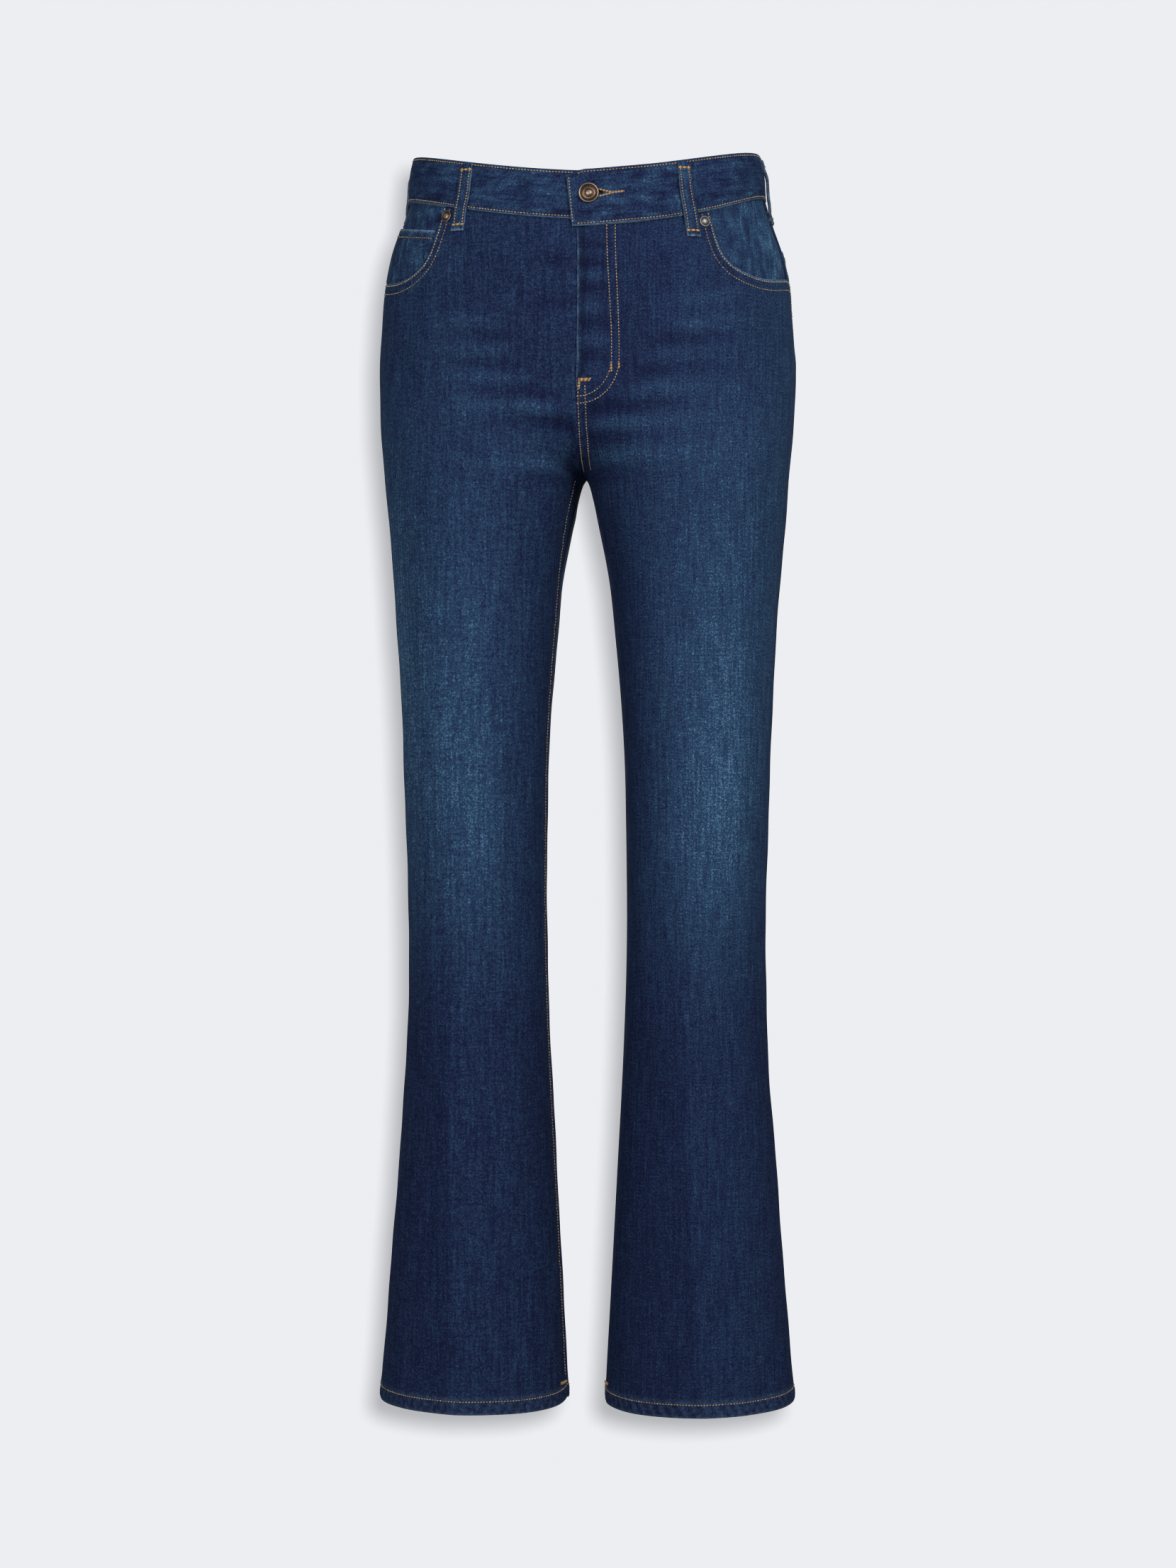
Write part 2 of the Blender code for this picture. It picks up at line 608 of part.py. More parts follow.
def back_pocket_place(half, across, down):
    """The place on the back of a point of its pocket: across from its middle, down from its top."""
    tilt = BACK_POCKET_TILT
    middle_z = float(yoke_seam(half, BACK_POCKET_AROUND)) - BACK_POCKET_BELOW_YOKE
    flat_x = across * math.cos(tilt) + down * math.sin(tilt)
    z = middle_z - down * math.cos(tilt) + across * math.sin(tilt)
    return BACK_POCKET_AROUND - seam_step(BACK_POCKET_AROUND, z, flat_x), z


def build_back_pocket(half):
    """A patch pocket with a pointed bottom, on the back panel."""
    columns, rows = 8, 8
    around = np.zeros((rows + 1, columns + 1))
    z = np.zeros_like(around)
    for row in range(rows + 1):
        for column in range(columns + 1):
            share = 2.0 * column / columns - 1.0
            depth = BACK_POCKET_SIDE + BACK_POCKET_POINT * (1.0 - abs(share))
            down = depth * row / rows
            width = BACK_POCKET_TOP + (BACK_POCKET_BOTTOM - BACK_POCKET_TOP) * row / rows
            around[row, column], z[row, column] = back_pocket_place(half, share * width / 2, down)
    name = "back_pocket_left" if half == LEFT else "back_pocket_right"
    return cloth_wall(name, half, around, z, CLOTH + BACK_POCKET_LIFT)


def build_loop(name, half, around):
    """A belt loop: sewn down at the band's top and below its seam, and off the band between."""
    top = float(waist_top(around)) - LOOP_BELOW_TOP
    bottom = float(waist_seam(half, around)) - LOOP_BELOW_BAND
    length = top - bottom
    seat = BAND_PROUD + LAYER_GAP
    seam = float(waist_seam(half, around))
    steps = [0.0, 0.5, 1.0, 1.6, 2.4, 3.2, 4.2, 5.2, 6.0, 6.6, 7.3]
    heights = [top - length * step / steps[-1] for step in steps]
    half_width = seam_step(around, 0.5 * (top + bottom), LOOP_WIDTH / 2)
    across = np.array([around - half_width, around, around + half_width])
    lifts = []
    for height in heights:
        up = ramp((top - height - LOOP_FLAT_END) / 0.010)
        down = ramp((height - bottom - LOOP_FLAT_END) / 0.010)
        lift = seat + (LOOP_STAND - seat) * float(min(up, down))
        if height < seam - 0.002:
            lift = min(lift, LAYER_GAP + (lift - seat) + 0.0002)
        lifts.append(lift)
    z = np.tile(np.array(heights)[:, None], (1, 3))
    lift = np.tile(np.array(lifts)[:, None], (1, 3)) + LOOP_CLOTH
    around = np.tile(across, (len(steps), 1))
    return cloth_wall(name, half, around, z, lift, LOOP_CLOTH, DENIM_WORN)


def turned(name, profile, centre, axis, colour, segments=24):
    """A round piece: a profile of (radius, height) turned about an axis."""
    mesh = bpy.data.meshes.new(name)
    bm = bmesh.new()
    axis = axis / np.linalg.norm(axis)
    across = np.cross(axis, (0.0, 0.0, 1.0))
    across /= np.linalg.norm(across)
    verts = [bm.verts.new(centre + across * radius + axis * height) for radius, height in profile]
    edges = [bm.edges.new(pair) for pair in zip(verts, verts[1:])]
    bmesh.ops.spin(
        bm, geom=verts + edges, cent=centre, axis=axis, angle=2 * math.pi, steps=segments
    )
    bmesh.ops.remove_doubles(bm, verts=bm.verts, dist=1e-6)
    bmesh.ops.recalc_face_normals(bm, faces=bm.faces)
    bm.to_mesh(mesh)
    bm.free()
    mesh.shade_smooth()
    mesh.set_sharp_from_angle(angle=math.radians(40))
    return add_object(name, mesh, colour, 0.4, 0.9)


def build_button():
    """The shank button: a ringed cap over the lap, on a shank through the buttonhole."""
    around = around_at(BUTTON_X, BUTTON_Z)
    base = surface(LEFT, around, BUTTON_Z, 0.0)
    axis = surface(LEFT, around, BUTTON_Z, 1.0) - base
    foot = BAND_PROUD + LAYER_GAP
    under = BAND_PROUD + LAP_LIFT + 0.0005
    r = BUTTON_RADIUS
    profile = (
        (0.0, foot),
        (SHANK_RADIUS, foot),
        (SHANK_RADIUS, under),
        (r - 0.0006, under),
        (r, under + 0.0006),
        (r, under + 0.0016),
        (r - 0.0009, under + 0.0024),
        (r - 0.0020, under + 0.0022),
        (r - 0.0026, under + 0.0017),
        (0.45 * r, under + 0.0020),
        (0.0, under + 0.0023),
    )
    return turned("button", profile, base, axis, COPPER)


def build_rivet(name, half, around, z, colour):
    """A flat-topped rivet at the top of a front pocket's edge."""
    base = surface(half, around, z, LAYER_GAP)
    axis = surface(half, around, z, 1.0) - base
    r = RIVET_RADIUS
    profile = (
        (0.0, 0.0),
        (r - 0.0004, 0.0),
        (r, 0.0004),
        (r - 0.0003, 0.0010),
        (r - 0.0012, 0.0014),
        (0.30 * r, 0.0014),
        (0.0, 0.0019),
    )
    return turned(name, profile, base, axis, colour, 20)


def main():
    """Builds every piece of the garment."""
    for old in list(bpy.data.objects):
        bpy.data.objects.remove(old, do_unlink=True)
    for half in (LEFT, RIGHT):
        build_front(half)
        build_back(half)
        build_yoke(half)
        build_facing(half)
        build_back_pocket(half)
    build_waistband()
    build_coin_pocket()
    build_loop("loop_front_left", LEFT, 0.361)
    build_loop("loop_front_right", RIGHT, 0.390)
    build_loop("loop_side_left", LEFT, 1.05)
    build_loop("loop_side_right", RIGHT, 1.05)
    build_loop("loop_back", LEFT, 2.0)
    build_button()
    build_rivet("rivet_left", LEFT, 0.419, -0.0500, PEWTER)
    build_rivet("rivet_right", RIGHT, 0.461, -0.0425, COPPER)


main()
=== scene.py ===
"""Denim, sewing and metal of a pair of jeans with a bootcut leg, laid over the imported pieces.

Metres, +Z up, the front towards -Y and the wearer's left towards +X. All cloth lies on one form,
the outer face of the garment. A place on it is (around, z): around is 0 at the centre front or the
inside leg seam, 1 at the side seam and 2 at the centre back, and z is the height.
"""

import logging
import math
from collections.abc import Iterable, Sequence
from dataclasses import dataclass, field
from enum import Enum
from typing import NamedTuple

import bpy
import numpy as np
from bpy.types import Material, NodeSocket, Object
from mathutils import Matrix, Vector
from numpy import ndarray


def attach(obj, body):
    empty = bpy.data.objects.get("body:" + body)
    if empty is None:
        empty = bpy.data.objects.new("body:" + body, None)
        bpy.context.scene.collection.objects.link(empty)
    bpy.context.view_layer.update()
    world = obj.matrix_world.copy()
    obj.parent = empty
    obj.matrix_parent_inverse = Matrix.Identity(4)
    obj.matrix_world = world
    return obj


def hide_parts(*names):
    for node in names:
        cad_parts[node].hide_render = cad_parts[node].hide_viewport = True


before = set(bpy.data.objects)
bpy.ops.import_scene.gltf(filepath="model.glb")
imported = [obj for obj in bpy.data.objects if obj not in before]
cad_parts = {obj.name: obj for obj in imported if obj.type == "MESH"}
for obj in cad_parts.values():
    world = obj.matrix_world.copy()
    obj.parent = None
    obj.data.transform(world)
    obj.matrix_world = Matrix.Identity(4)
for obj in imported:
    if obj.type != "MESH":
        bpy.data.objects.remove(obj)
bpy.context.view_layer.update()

LOG = logging.getLogger("jeans")
FLAT_SCALE = 0.24  # metres of cloth for one unit of around, near enough to measure relief with
PROBE = 0.01  # how far out a second point is taken to find the way that cloth faces
CLOSE_PITCH = 0.00042  # from one thread of a bar tack to the next
CLOSE_RADIUS = 0.00034
THREAD_CLEAR = 0.0001  # how far thread is held off the cloth that it lies on


class Half(Enum):
    """A half of the garment: the wearer's left, towards +X, or the right."""

    LEFT = 1
    RIGHT = -1

    @property
    def side(self) -> str:
        """Its name within the name of a piece."""
        return self.name.lower()


class Level(NamedTuple):
    """The section at one height: its reach to the side, front and back, its seams, its squareness."""

    z: float
    side: float
    front: float
    back: float
    seam: float
    inside: float
    square: float


LEVELS = (
    Level(0.040, 0.1405, -0.0960, 0.0965, 0.000, -0.012, 2.30),
    Level(0.000, 0.1490, -0.0985, 0.0990, 0.000, -0.012, 2.30),
    Level(-0.022, 0.1510, -0.1000, 0.1020, 0.000, -0.012, 2.30),
    Level(-0.042, 0.1570, -0.1025, 0.1060, 0.000, -0.012, 2.30),
    Level(-0.065, 0.1650, -0.1050, 0.1120, 0.001, -0.012, 2.30),
    Level(-0.090, 0.1705, -0.1070, 0.1200, 0.003, -0.012, 2.30),
    Level(-0.125, 0.1737, -0.1080, 0.1310, 0.004, -0.012, 2.30),
    Level(-0.160, 0.1758, -0.1075, 0.1360, 0.005, -0.012, 2.30),
    Level(-0.210, 0.1746, -0.1040, 0.1300, 0.005, -0.012, 2.28),
    Level(-0.255, 0.1706, -0.0990, 0.1150, 0.004, -0.010, 2.24),
    Level(-0.293, 0.1674, -0.0945, 0.1050, 0.003, -0.009, 2.20),
    Level(-0.341, 0.1632, -0.0890, 0.0980, 0.002, -0.008, 2.20),
    Level(-0.389, 0.1597, -0.0850, 0.0930, 0.001, -0.006, 2.20),
    Level(-0.485, 0.1551, -0.0780, 0.0860, 0.000, -0.004, 2.15),
    Level(-0.605, 0.1515, -0.0695, 0.0820, 0.000, -0.002, 2.10),
    Level(-0.653, 0.1507, -0.0660, 0.0835, 0.000, -0.001, 2.10),
    Level(-0.749, 0.1536, -0.0655, 0.0845, 0.000, 0.000, 2.10),
    Level(-0.845, 0.1608, -0.0660, 0.0830, 0.000, 0.000, 2.10),
    Level(-0.941, 0.1681, -0.0670, 0.0800, 0.000, 0.000, 2.10),
    Level(-1.025, 0.1753, -0.0680, 0.0780, 0.000, 0.000, 2.10),
    Level(-1.060, 0.1780, -0.0680, 0.0780, 0.000, 0.000, 2.10),
)


class InsideLeg(NamedTuple):
    """How far the inside of each leg is from the middle at one height."""

    z: float
    inner: float


INSIDE_LEG = (
    InsideLeg(-0.2550, 0.0000),
    InsideLeg(-0.2580, 0.0022),
    InsideLeg(-0.2630, 0.0042),
    InsideLeg(-0.2700, 0.0060),
    InsideLeg(-0.2930, 0.0108),
    InsideLeg(-0.3410, 0.0201),
    InsideLeg(-0.3890, 0.0252),
    InsideLeg(-0.4370, 0.0294),
    InsideLeg(-0.4850, 0.0324),
    InsideLeg(-0.5570, 0.0340),
    InsideLeg(-0.6530, 0.0342),
    InsideLeg(-0.7490, 0.0309),
    InsideLeg(-0.8450, 0.0258),
    InsideLeg(-0.9410, 0.0207),
    InsideLeg(-1.0250, 0.0162),
    InsideLeg(-1.0600, 0.0150),
)


class CreasePlace(NamedTuple):
    """Where the front creases run at one height, as around."""

    z: float
    left: float
    right: float


CREASE_PLACES = (
    CreasePlace(-0.600, 0.462, 0.550),
    CreasePlace(-0.745, 0.478, 0.560),
    CreasePlace(-0.920, 0.503, 0.533),
    CreasePlace(-1.030, 0.515, 0.520),
)


class Fold(NamedTuple):
    """A soft ridge or trough, by its two ends, its half-width and its height."""

    half: Half
    around: float
    z: float
    end_around: float
    end_z: float
    width: float
    height: float


L, R = Half.LEFT, Half.RIGHT
MAIN_FOLDS = (
    Fold(L, 0.06, -0.232, 0.56, -0.192, 0.020, -0.0028),
    Fold(L, 0.12, -0.275, 0.66, -0.245, 0.022, 0.0022),
    Fold(R, 0.05, -0.238, 0.60, -0.200, 0.020, -0.0026),
    Fold(R, 0.14, -0.280, 0.58, -0.248, 0.022, 0.0024),
    Fold(L, 1.92, -0.270, 1.35, -0.232, 0.024, -0.0026),
    Fold(R, 1.94, -0.264, 1.40, -0.238, 0.024, -0.0028),
    Fold(L, 1.90, -0.600, 1.20, -0.585, 0.024, -0.0030),
    Fold(R, 1.88, -0.612, 1.22, -0.590, 0.024, -0.0028),
    Fold(L, 1.85, -0.668, 1.15, -0.650, 0.026, -0.0024),
    Fold(R, 1.86, -0.664, 1.18, -0.656, 0.026, -0.0026),
)
SMALL_FOLDS = (
    Fold(R, 0.20, -0.134, 0.62, -0.130, 0.0075, 0.0008),
    Fold(R, 0.16, -0.146, 0.48, -0.143, 0.0060, -0.0008),
    Fold(R, 0.18, -0.158, 0.66, -0.150, 0.0080, 0.0010),
    Fold(R, 0.14, -0.168, 0.52, -0.163, 0.0060, -0.0008),
    Fold(R, 0.16, -0.181, 0.60, -0.173, 0.0080, 0.0011),
    Fold(R, 0.10, -0.192, 0.50, -0.186, 0.0065, -0.0010),
    Fold(R, 0.12, -0.206, 0.62, -0.199, 0.0085, 0.0013),
    Fold(R, 0.05, -0.219, 0.50, -0.212, 0.0070, -0.0015),
    Fold(R, 0.10, -0.234, 0.56, -0.226, 0.0080, 0.0008),
    Fold(R, 0.16, -0.249, 0.60, -0.246, 0.0085, 0.0011),
    Fold(R, 0.14, -0.262, 0.52, -0.259, 0.0080, -0.0008),
    Fold(L, 0.24, -0.118, 0.72, -0.101, 0.0070, 0.0007),
    Fold(L, 0.28, -0.138, 0.74, -0.124, 0.0080, 0.0010),
    Fold(L, 0.22, -0.150, 0.60, -0.140, 0.0060, -0.0008),
    Fold(L, 0.20, -0.162, 0.60, -0.152, 0.0080, 0.0008),
    Fold(L, 0.16, -0.175, 0.56, -0.166, 0.0060, -0.0008),
    Fold(L, 0.20, -0.190, 0.62, -0.182, 0.0080, 0.0010),
    Fold(L, 0.08, -0.207, 0.46, -0.200, 0.0070, -0.0013),
    Fold(L, 0.14, -0.219, 0.62, -0.213, 0.0080, 0.0011),
    Fold(L, 0.10, -0.231, 0.50, -0.226, 0.0070, -0.0010),
    Fold(L, 0.14, -0.244, 0.66, -0.240, 0.0085, 0.0012),
    Fold(L, 0.12, -0.258, 0.56, -0.255, 0.0080, -0.0008),
    Fold(L, 1.94, -0.236, 1.52, -0.214, 0.0080, 0.0010),
    Fold(R, 1.95, -0.232, 1.50, -0.212, 0.0080, 0.0011),
    Fold(L, 1.94, -0.252, 1.46, -0.230, 0.0070, -0.0010),
    Fold(R, 1.94, -0.250, 1.44, -0.228, 0.0070, -0.0009),
    Fold(L, 1.92, -0.292, 1.55, -0.262, 0.0090, 0.0010),
    Fold(R, 1.93, -0.286, 1.52, -0.258, 0.0090, 0.0011),
    Fold(L, 1.80, -0.560, 1.24, -0.552, 0.0110, 0.0004),
    Fold(R, 1.78, -0.568, 1.26, -0.556, 0.0110, 0.0004),
    Fold(L, 1.84, -0.632, 1.20, -0.618, 0.0100, 0.0005),
    Fold(R, 1.82, -0.638, 1.22, -0.624, 0.0100, 0.0005),
    Fold(L, 1.80, -0.705, 1.30, -0.692, 0.0110, 0.0004),
    Fold(R, 1.78, -0.700, 1.32, -0.690, 0.0110, 0.0004),
    Fold(L, 1.06, -0.150, 1.26, -0.205, 0.0080, 0.0009),
    Fold(R, 1.05, -0.156, 1.24, -0.200, 0.0080, 0.0009),
)
FLY_BUCKLES = (
    Fold(L, 0.000, -0.0700, 0.135, -0.0735, 0.0035, -0.0011),
    Fold(L, 0.000, -0.0860, 0.125, -0.0880, 0.0040, -0.0015),
    Fold(L, 0.000, -0.0955, 0.105, -0.0950, 0.0035, 0.0009),
    Fold(L, 0.000, -0.1060, 0.125, -0.1095, 0.0040, -0.0013),
    Fold(L, 0.000, -0.1230, 0.115, -0.1240, 0.0045, 0.0009),
    Fold(L, 0.000, -0.1345, 0.125, -0.1370, 0.0040, -0.0011),
    Fold(L, 0.000, -0.1500, 0.110, -0.1510, 0.0045, 0.0008),
    Fold(L, 0.000, -0.1620, 0.125, -0.1640, 0.0040, -0.0011),
    Fold(R, 0.020, -0.0820, 0.160, -0.0870, 0.0040, -0.0009),
    Fold(R, 0.020, -0.1180, 0.170, -0.1220, 0.0045, -0.0009),
    Fold(R, 0.490, -0.0420, 0.640, -0.0500, 0.0028, -0.0017),
    Fold(R, 0.560, -0.0360, 0.720, -0.0400, 0.0030, 0.0011),
)


def ramp(share: ndarray | float) -> ndarray:
    """Rises smoothly from 0 to 1 as share does."""
    share = np.clip(share, 0.0, 1.0)
    return share * share * (3.0 - 2.0 * share)


def bell(distance: ndarray | float, width: float) -> ndarray:
    """Is 1 where a distance is 0, and falls smoothly to nothing past twice the width."""
    return np.exp(-((distance / width) ** 2))


def flat_places(around: ndarray, z: ndarray) -> ndarray:
    """Places in metres of flat cloth, across and up."""
    return np.stack([around * FLAT_SCALE, z], axis=-1)


def run_along(points: ndarray) -> ndarray:
    """The distance to each point along its row of points, from 0 at the first."""
    run = np.linalg.norm(np.diff(points, axis=-2), axis=-1)
    return np.concatenate([np.zeros((*run.shape[:-1], 1)), np.cumsum(run, axis=-1)], axis=-1)


def edge_distances(around: ndarray, z: ndarray) -> tuple[ndarray, ...]:
    """How far each place of a grid is from its top, bottom, first and last edge, in flat cloth."""
    u = around * FLAT_SCALE
    edges = (np.s_[:1], np.s_[-1:], np.s_[:, :1], np.s_[:, -1:])
    return tuple(np.hypot(u - u[edge], z - z[edge]) for edge in edges)


def round_off(from_edge: ndarray, reach: float) -> ndarray:
    """How far a rounded edge has fallen: 1 at the edge itself, and 0 from its reach inwards."""
    near = np.clip(from_edge / reach, 0.0, 1.0)
    return 1.0 - np.sqrt(1.0 - (1.0 - near) ** 2)


def curve_between(start: ndarray, leave: ndarray, end: ndarray, arrive: ndarray, share: ndarray) -> ndarray:
    """Points along a smooth curve that leaves its start one way and arrives at its end another."""
    return (
        start * (1 + 2 * share) * (1 - share) ** 2
        + leave * share * (1 - share) ** 2
        + end * share * share * (3 - 2 * share)
        - arrive * share * share * (1 - share)
    )


def column(table: Sequence[NamedTuple], name: str, z: ndarray | float) -> ndarray:
    """Reads one column of a table of heights as a smooth curve through its rows.

    Args:
        table: Rows that have a z.
        name: The column to read.
        z: Heights to read it at.

    Returns:
        The column's value at each height.
    """
    rows = sorted(table)
    heights = np.array([row.z for row in rows])
    values = np.array([getattr(row, name) for row in rows])
    slopes = np.gradient(values, heights)
    low = np.clip(np.searchsorted(heights, z) - 1, 0, len(rows) - 2)
    span = heights[low + 1] - heights[low]
    share = np.clip((z - heights[low]) / span, 0.0, 1.0)
    return curve_between(values[low], slopes[low] * span, values[low + 1], slopes[low + 1] * span, share)


@dataclass
class SeamLine:
    """A stitched line on one half: the cloth dips along it and puckers beside it.

    Its places are held flat, in metres of cloth.
    """

    half: Half
    around: ndarray
    z: ndarray
    groove: float = 0.00025
    pucker: float = 0.00022
    reach: float = 0.006
    wave: float = 0.0105
    flat: ndarray = field(init=False)
    along: ndarray = field(init=False)

    def __post_init__(self) -> None:
        """Measures the line."""
        self.flat = flat_places(self.around, self.z)
        self.along = run_along(self.flat)

    def height(self, around: ndarray, z: ndarray) -> ndarray:
        """How far the line raises the cloth at places near it."""
        made = np.zeros(around.shape)
        low, high = self.flat.min(axis=0), self.flat.max(axis=0)
        margin = 2.6 * self.reach
        spots = flat_places(around, z)
        near = ((spots > low - margin) & (spots < high + margin)).all(axis=-1)
        if not near.any():
            return made
        places = spots[near]
        best = np.full(len(places), 1e9)
        where = np.zeros(len(places))
        for i in range(len(self.flat) - 1):
            run = self.flat[i + 1] - self.flat[i]
            long = float(run @ run)
            if long == 0.0:
                continue
            share = np.clip((places - self.flat[i]) @ run / long, 0.0, 1.0)
            off = np.linalg.norm(places - self.flat[i] - share[:, None] * run, axis=1)
            closer = off < best
            best[closer] = off[closer]
            where[closer] = self.along[i] + share[closer] * math.sqrt(long)
        turn = 2.0 * math.pi * where / self.wave
        uneven = np.sin(turn + 1.7 * np.sin(0.31 * turn)) * (0.65 + 0.35 * np.sin(0.173 * turn + 2.0))
        made[near] = self.pucker * uneven * bell(best, self.reach)
        made[near] -= self.groove * bell(best, 0.0013)
        return made


@dataclass
class JeansForm:
    """The outer face of the garment."""

    crotch_z: float = -0.255
    thigh_merge: float = 0.100
    merge_near_seam: float = 3.3
    merge_softness: float = 0.6
    inseam_forward: float = math.radians(9.0)
    inseam_forward_low: float = math.radians(4.0)
    crease_height: float = 0.0040
    crease_width: float = 0.060
    crease_top_z: float = -0.600
    crease_full_z: float = -0.850
    calm_edge: float = 0.08
    ripple: float = 0.00045
    grain_x: float = 0.090
    folds: tuple[Fold, ...] = MAIN_FOLDS + SMALL_FOLDS
    buckles: tuple[Fold, ...] = FLY_BUCKLES
    seams: list[SeamLine] = field(default_factory=list)
    levels: ndarray = field(init=False)
    rounds: ndarray = field(init=False)
    spread: ndarray = field(init=False)
    seam_place: int = field(init=False)

    def __post_init__(self) -> None:
        """Measures how far round each level every place is from the straight grain."""
        self.levels = np.linspace(-1.06, 0.045, 160)
        self.rounds = np.linspace(0.0, 2.0, 481)
        seam = len(self.rounds) // 2
        self.seam_place = seam
        points = self.shape(self.rounds[None, :], self.levels[:, None])
        self.spread = run_along(points)
        for row, x in zip(self.spread, points[..., 0]):
            front = np.interp(self.grain_x, x[: seam + 1], row[: seam + 1])
            back = np.interp(-self.grain_x, -x[seam:], row[seam:])
            row[:seam] -= front
            row[seam:] -= back

    def grain(self, around: ndarray, z: ndarray) -> ndarray:
        """How far across the cloth places are from the straight grain down the leg's middle."""
        row = np.interp(z, self.levels, np.arange(len(self.levels)))
        place = np.clip(np.abs(around), 0.0, 2.0) / self.rounds[1]
        low_row = np.minimum(row.astype(int), len(self.levels) - 2)
        low = np.minimum(place.astype(int), len(self.rounds) - 2)
        # No cell is read across the side seam, where the two grains part.
        low = np.where((around <= 1.0) & (low == self.seam_place - 1), low - 1, low)
        up, over = row - low_row, place - low
        first = self.spread[low_row, low] * (1 - over) + self.spread[low_row, low + 1] * over
        second = self.spread[low_row + 1, low] * (1 - over) + self.spread[low_row + 1, low + 1] * over
        return first * (1 - up) + second * up

    def shape(self, around: ndarray | float, z: ndarray | float) -> ndarray:
        """Points of the +X half, with no relief."""
        around, z = np.broadcast_arrays(np.asarray(around, float), np.asarray(z, float))
        side, front, back, seam, inside, square = (
            column(LEVELS, name, z) for name in Level._fields[1:]
        )
        inner = column(INSIDE_LEG, "inner", z)
        rise = np.clip((z - self.crotch_z) / self.thigh_merge, 0.0, 1.0)
        centre = 0.5 * (side + inner) * (1.0 - ramp(rise))
        # Above the crotch each thigh is cut by the middle plane, further out the higher it is.
        cut = (1.0 - rise) ** 2
        cut_angle = math.pi - np.arccos(np.clip(cut, 0.0, 1.0) ** (square / 2.0))
        below = self.crotch_z - z
        lower = self.inseam_forward_low - self.inseam_forward
        forward = (self.inseam_forward + lower * ramp(below / 0.35)) * ramp(below / 0.05)
        forward = np.where(around <= 1.0, -forward, forward)
        even_end = math.pi - 0.5 * math.pi * ramp(rise) + forward
        end = np.where(below > 0, even_end, cut_angle)
        share = np.abs(1.0 - around)
        turn = even_end * share + (end - even_end) * share**self.merge_near_seam
        turn = np.where(around <= 1.0, turn, -turn)
        across, along = np.cos(turn), np.sin(turn)
        reach = np.abs(across) ** (2.0 / square)
        in_trunk = (across < 0) & (below <= 0)
        to_middle = np.where(in_trunk, np.minimum(reach / np.maximum(cut, 1e-6), 1.0), reach)
        inner_half = np.where(below > 0, centre - inner, centre)
        x = centre + np.where(across >= 0, side - centre, -inner_half) * to_middle
        late = self.merge_softness * (1.0 - to_middle) * (1.0 - rise) ** 2
        cut_here = 1.0 - (1.0 - cut) * rise / np.maximum(rise + late, 1e-9)
        flat = np.where(in_trunk, to_middle * cut_here, reach)
        middle = np.where(across >= 0, seam, inside)
        depth = np.where(along >= 0, front - middle, back - middle)
        y = middle + depth * np.maximum(1.0 - flat**square, 0.0) ** (1.0 / square)
        return np.stack([x, y, z], axis=-1)

    def outward(self, around: ndarray, z: ndarray) -> ndarray:
        """Unit normals of the +X half, pointing out of the garment."""
        ahead, behind = np.minimum(around + 1e-3, 2.0), np.maximum(around - 1e-3, 0.0)
        round_it = self.shape(ahead, z) - self.shape(behind, z)
        up_it = self.shape(around, z + 2e-3) - self.shape(around, z - 2e-3)
        normal = np.cross(round_it, up_it)
        return normal / np.linalg.norm(normal, axis=-1, keepdims=True)

    def crease(self, half: Half, around: ndarray, z: ndarray) -> ndarray:
        """Height of the pressed creases down the front and the back of a leg."""
        place = column(CREASE_PLACES, half.side, z)
        front = np.abs(around - place) * FLAT_SCALE
        back = np.abs(around - (2.0 - place)) * FLAT_SCALE
        away = np.minimum(front, back) / self.crease_width
        strength = ramp((self.crease_top_z - z) / (self.crease_top_z - self.crease_full_z))
        return self.crease_height * strength * np.clip(1.0 - away, 0.0, 1.0) ** 2.2

    @staticmethod
    def fold_share(fold: Fold, around: ndarray, z: ndarray) -> ndarray:
        """How much of a fold there is at a place, from 0 to 1. It fades from start to end."""
        along = np.array([(fold.end_around - fold.around) * FLAT_SCALE, fold.end_z - fold.z])
        place = np.stack([(around - fold.around) * FLAT_SCALE, z - fold.z], axis=-1)
        share = np.clip(place @ along / (along @ along), -0.15, 1.0)
        off = np.linalg.norm(place - share[..., None] * along, axis=-1)
        fade = ramp((share + 0.15) / 0.3) * (1.0 - ramp(share))
        return fade * bell(off, fold.width)

    def unevenness(self, half: Half, around: ndarray, z: ndarray) -> ndarray:
        """Shallow waves, as cloth has that isn't stretched taut."""
        u, v = around * FLAT_SCALE, z
        phase = 1.3 * half.value
        waves = np.sin(62.0 * u + 21.0 * v + phase) * np.sin(27.0 * v - 33.0 * u + 2.0 * phase)
        waves = waves + 0.6 * np.sin(141.0 * u - 38.0 * v + 3.1 * phase) * np.sin(73.0 * v + 1.1)
        return self.ripple * waves * ramp((-0.05 - z) / 0.1)

    def relief(self, half: Half, around: ndarray, z: ndarray) -> ndarray:
        """How far creases, folds and sewing raise the form at a place."""
        folds = self.unevenness(half, around, z)
        for fold in self.folds:
            if fold.half is half:
                folds = folds + fold.height * self.fold_share(fold, around, z)
        calm = ramp(around / self.calm_edge) * ramp((2.0 - around) / self.calm_edge)
        made = self.crease(half, around, z) + folds * calm
        for buckle in self.buckles:
            if buckle.half is half:
                made = made + buckle.height * self.fold_share(buckle, around, z)
        for seam in self.seams:
            if seam.half is half:
                made = made + seam.height(around, z)
        return made

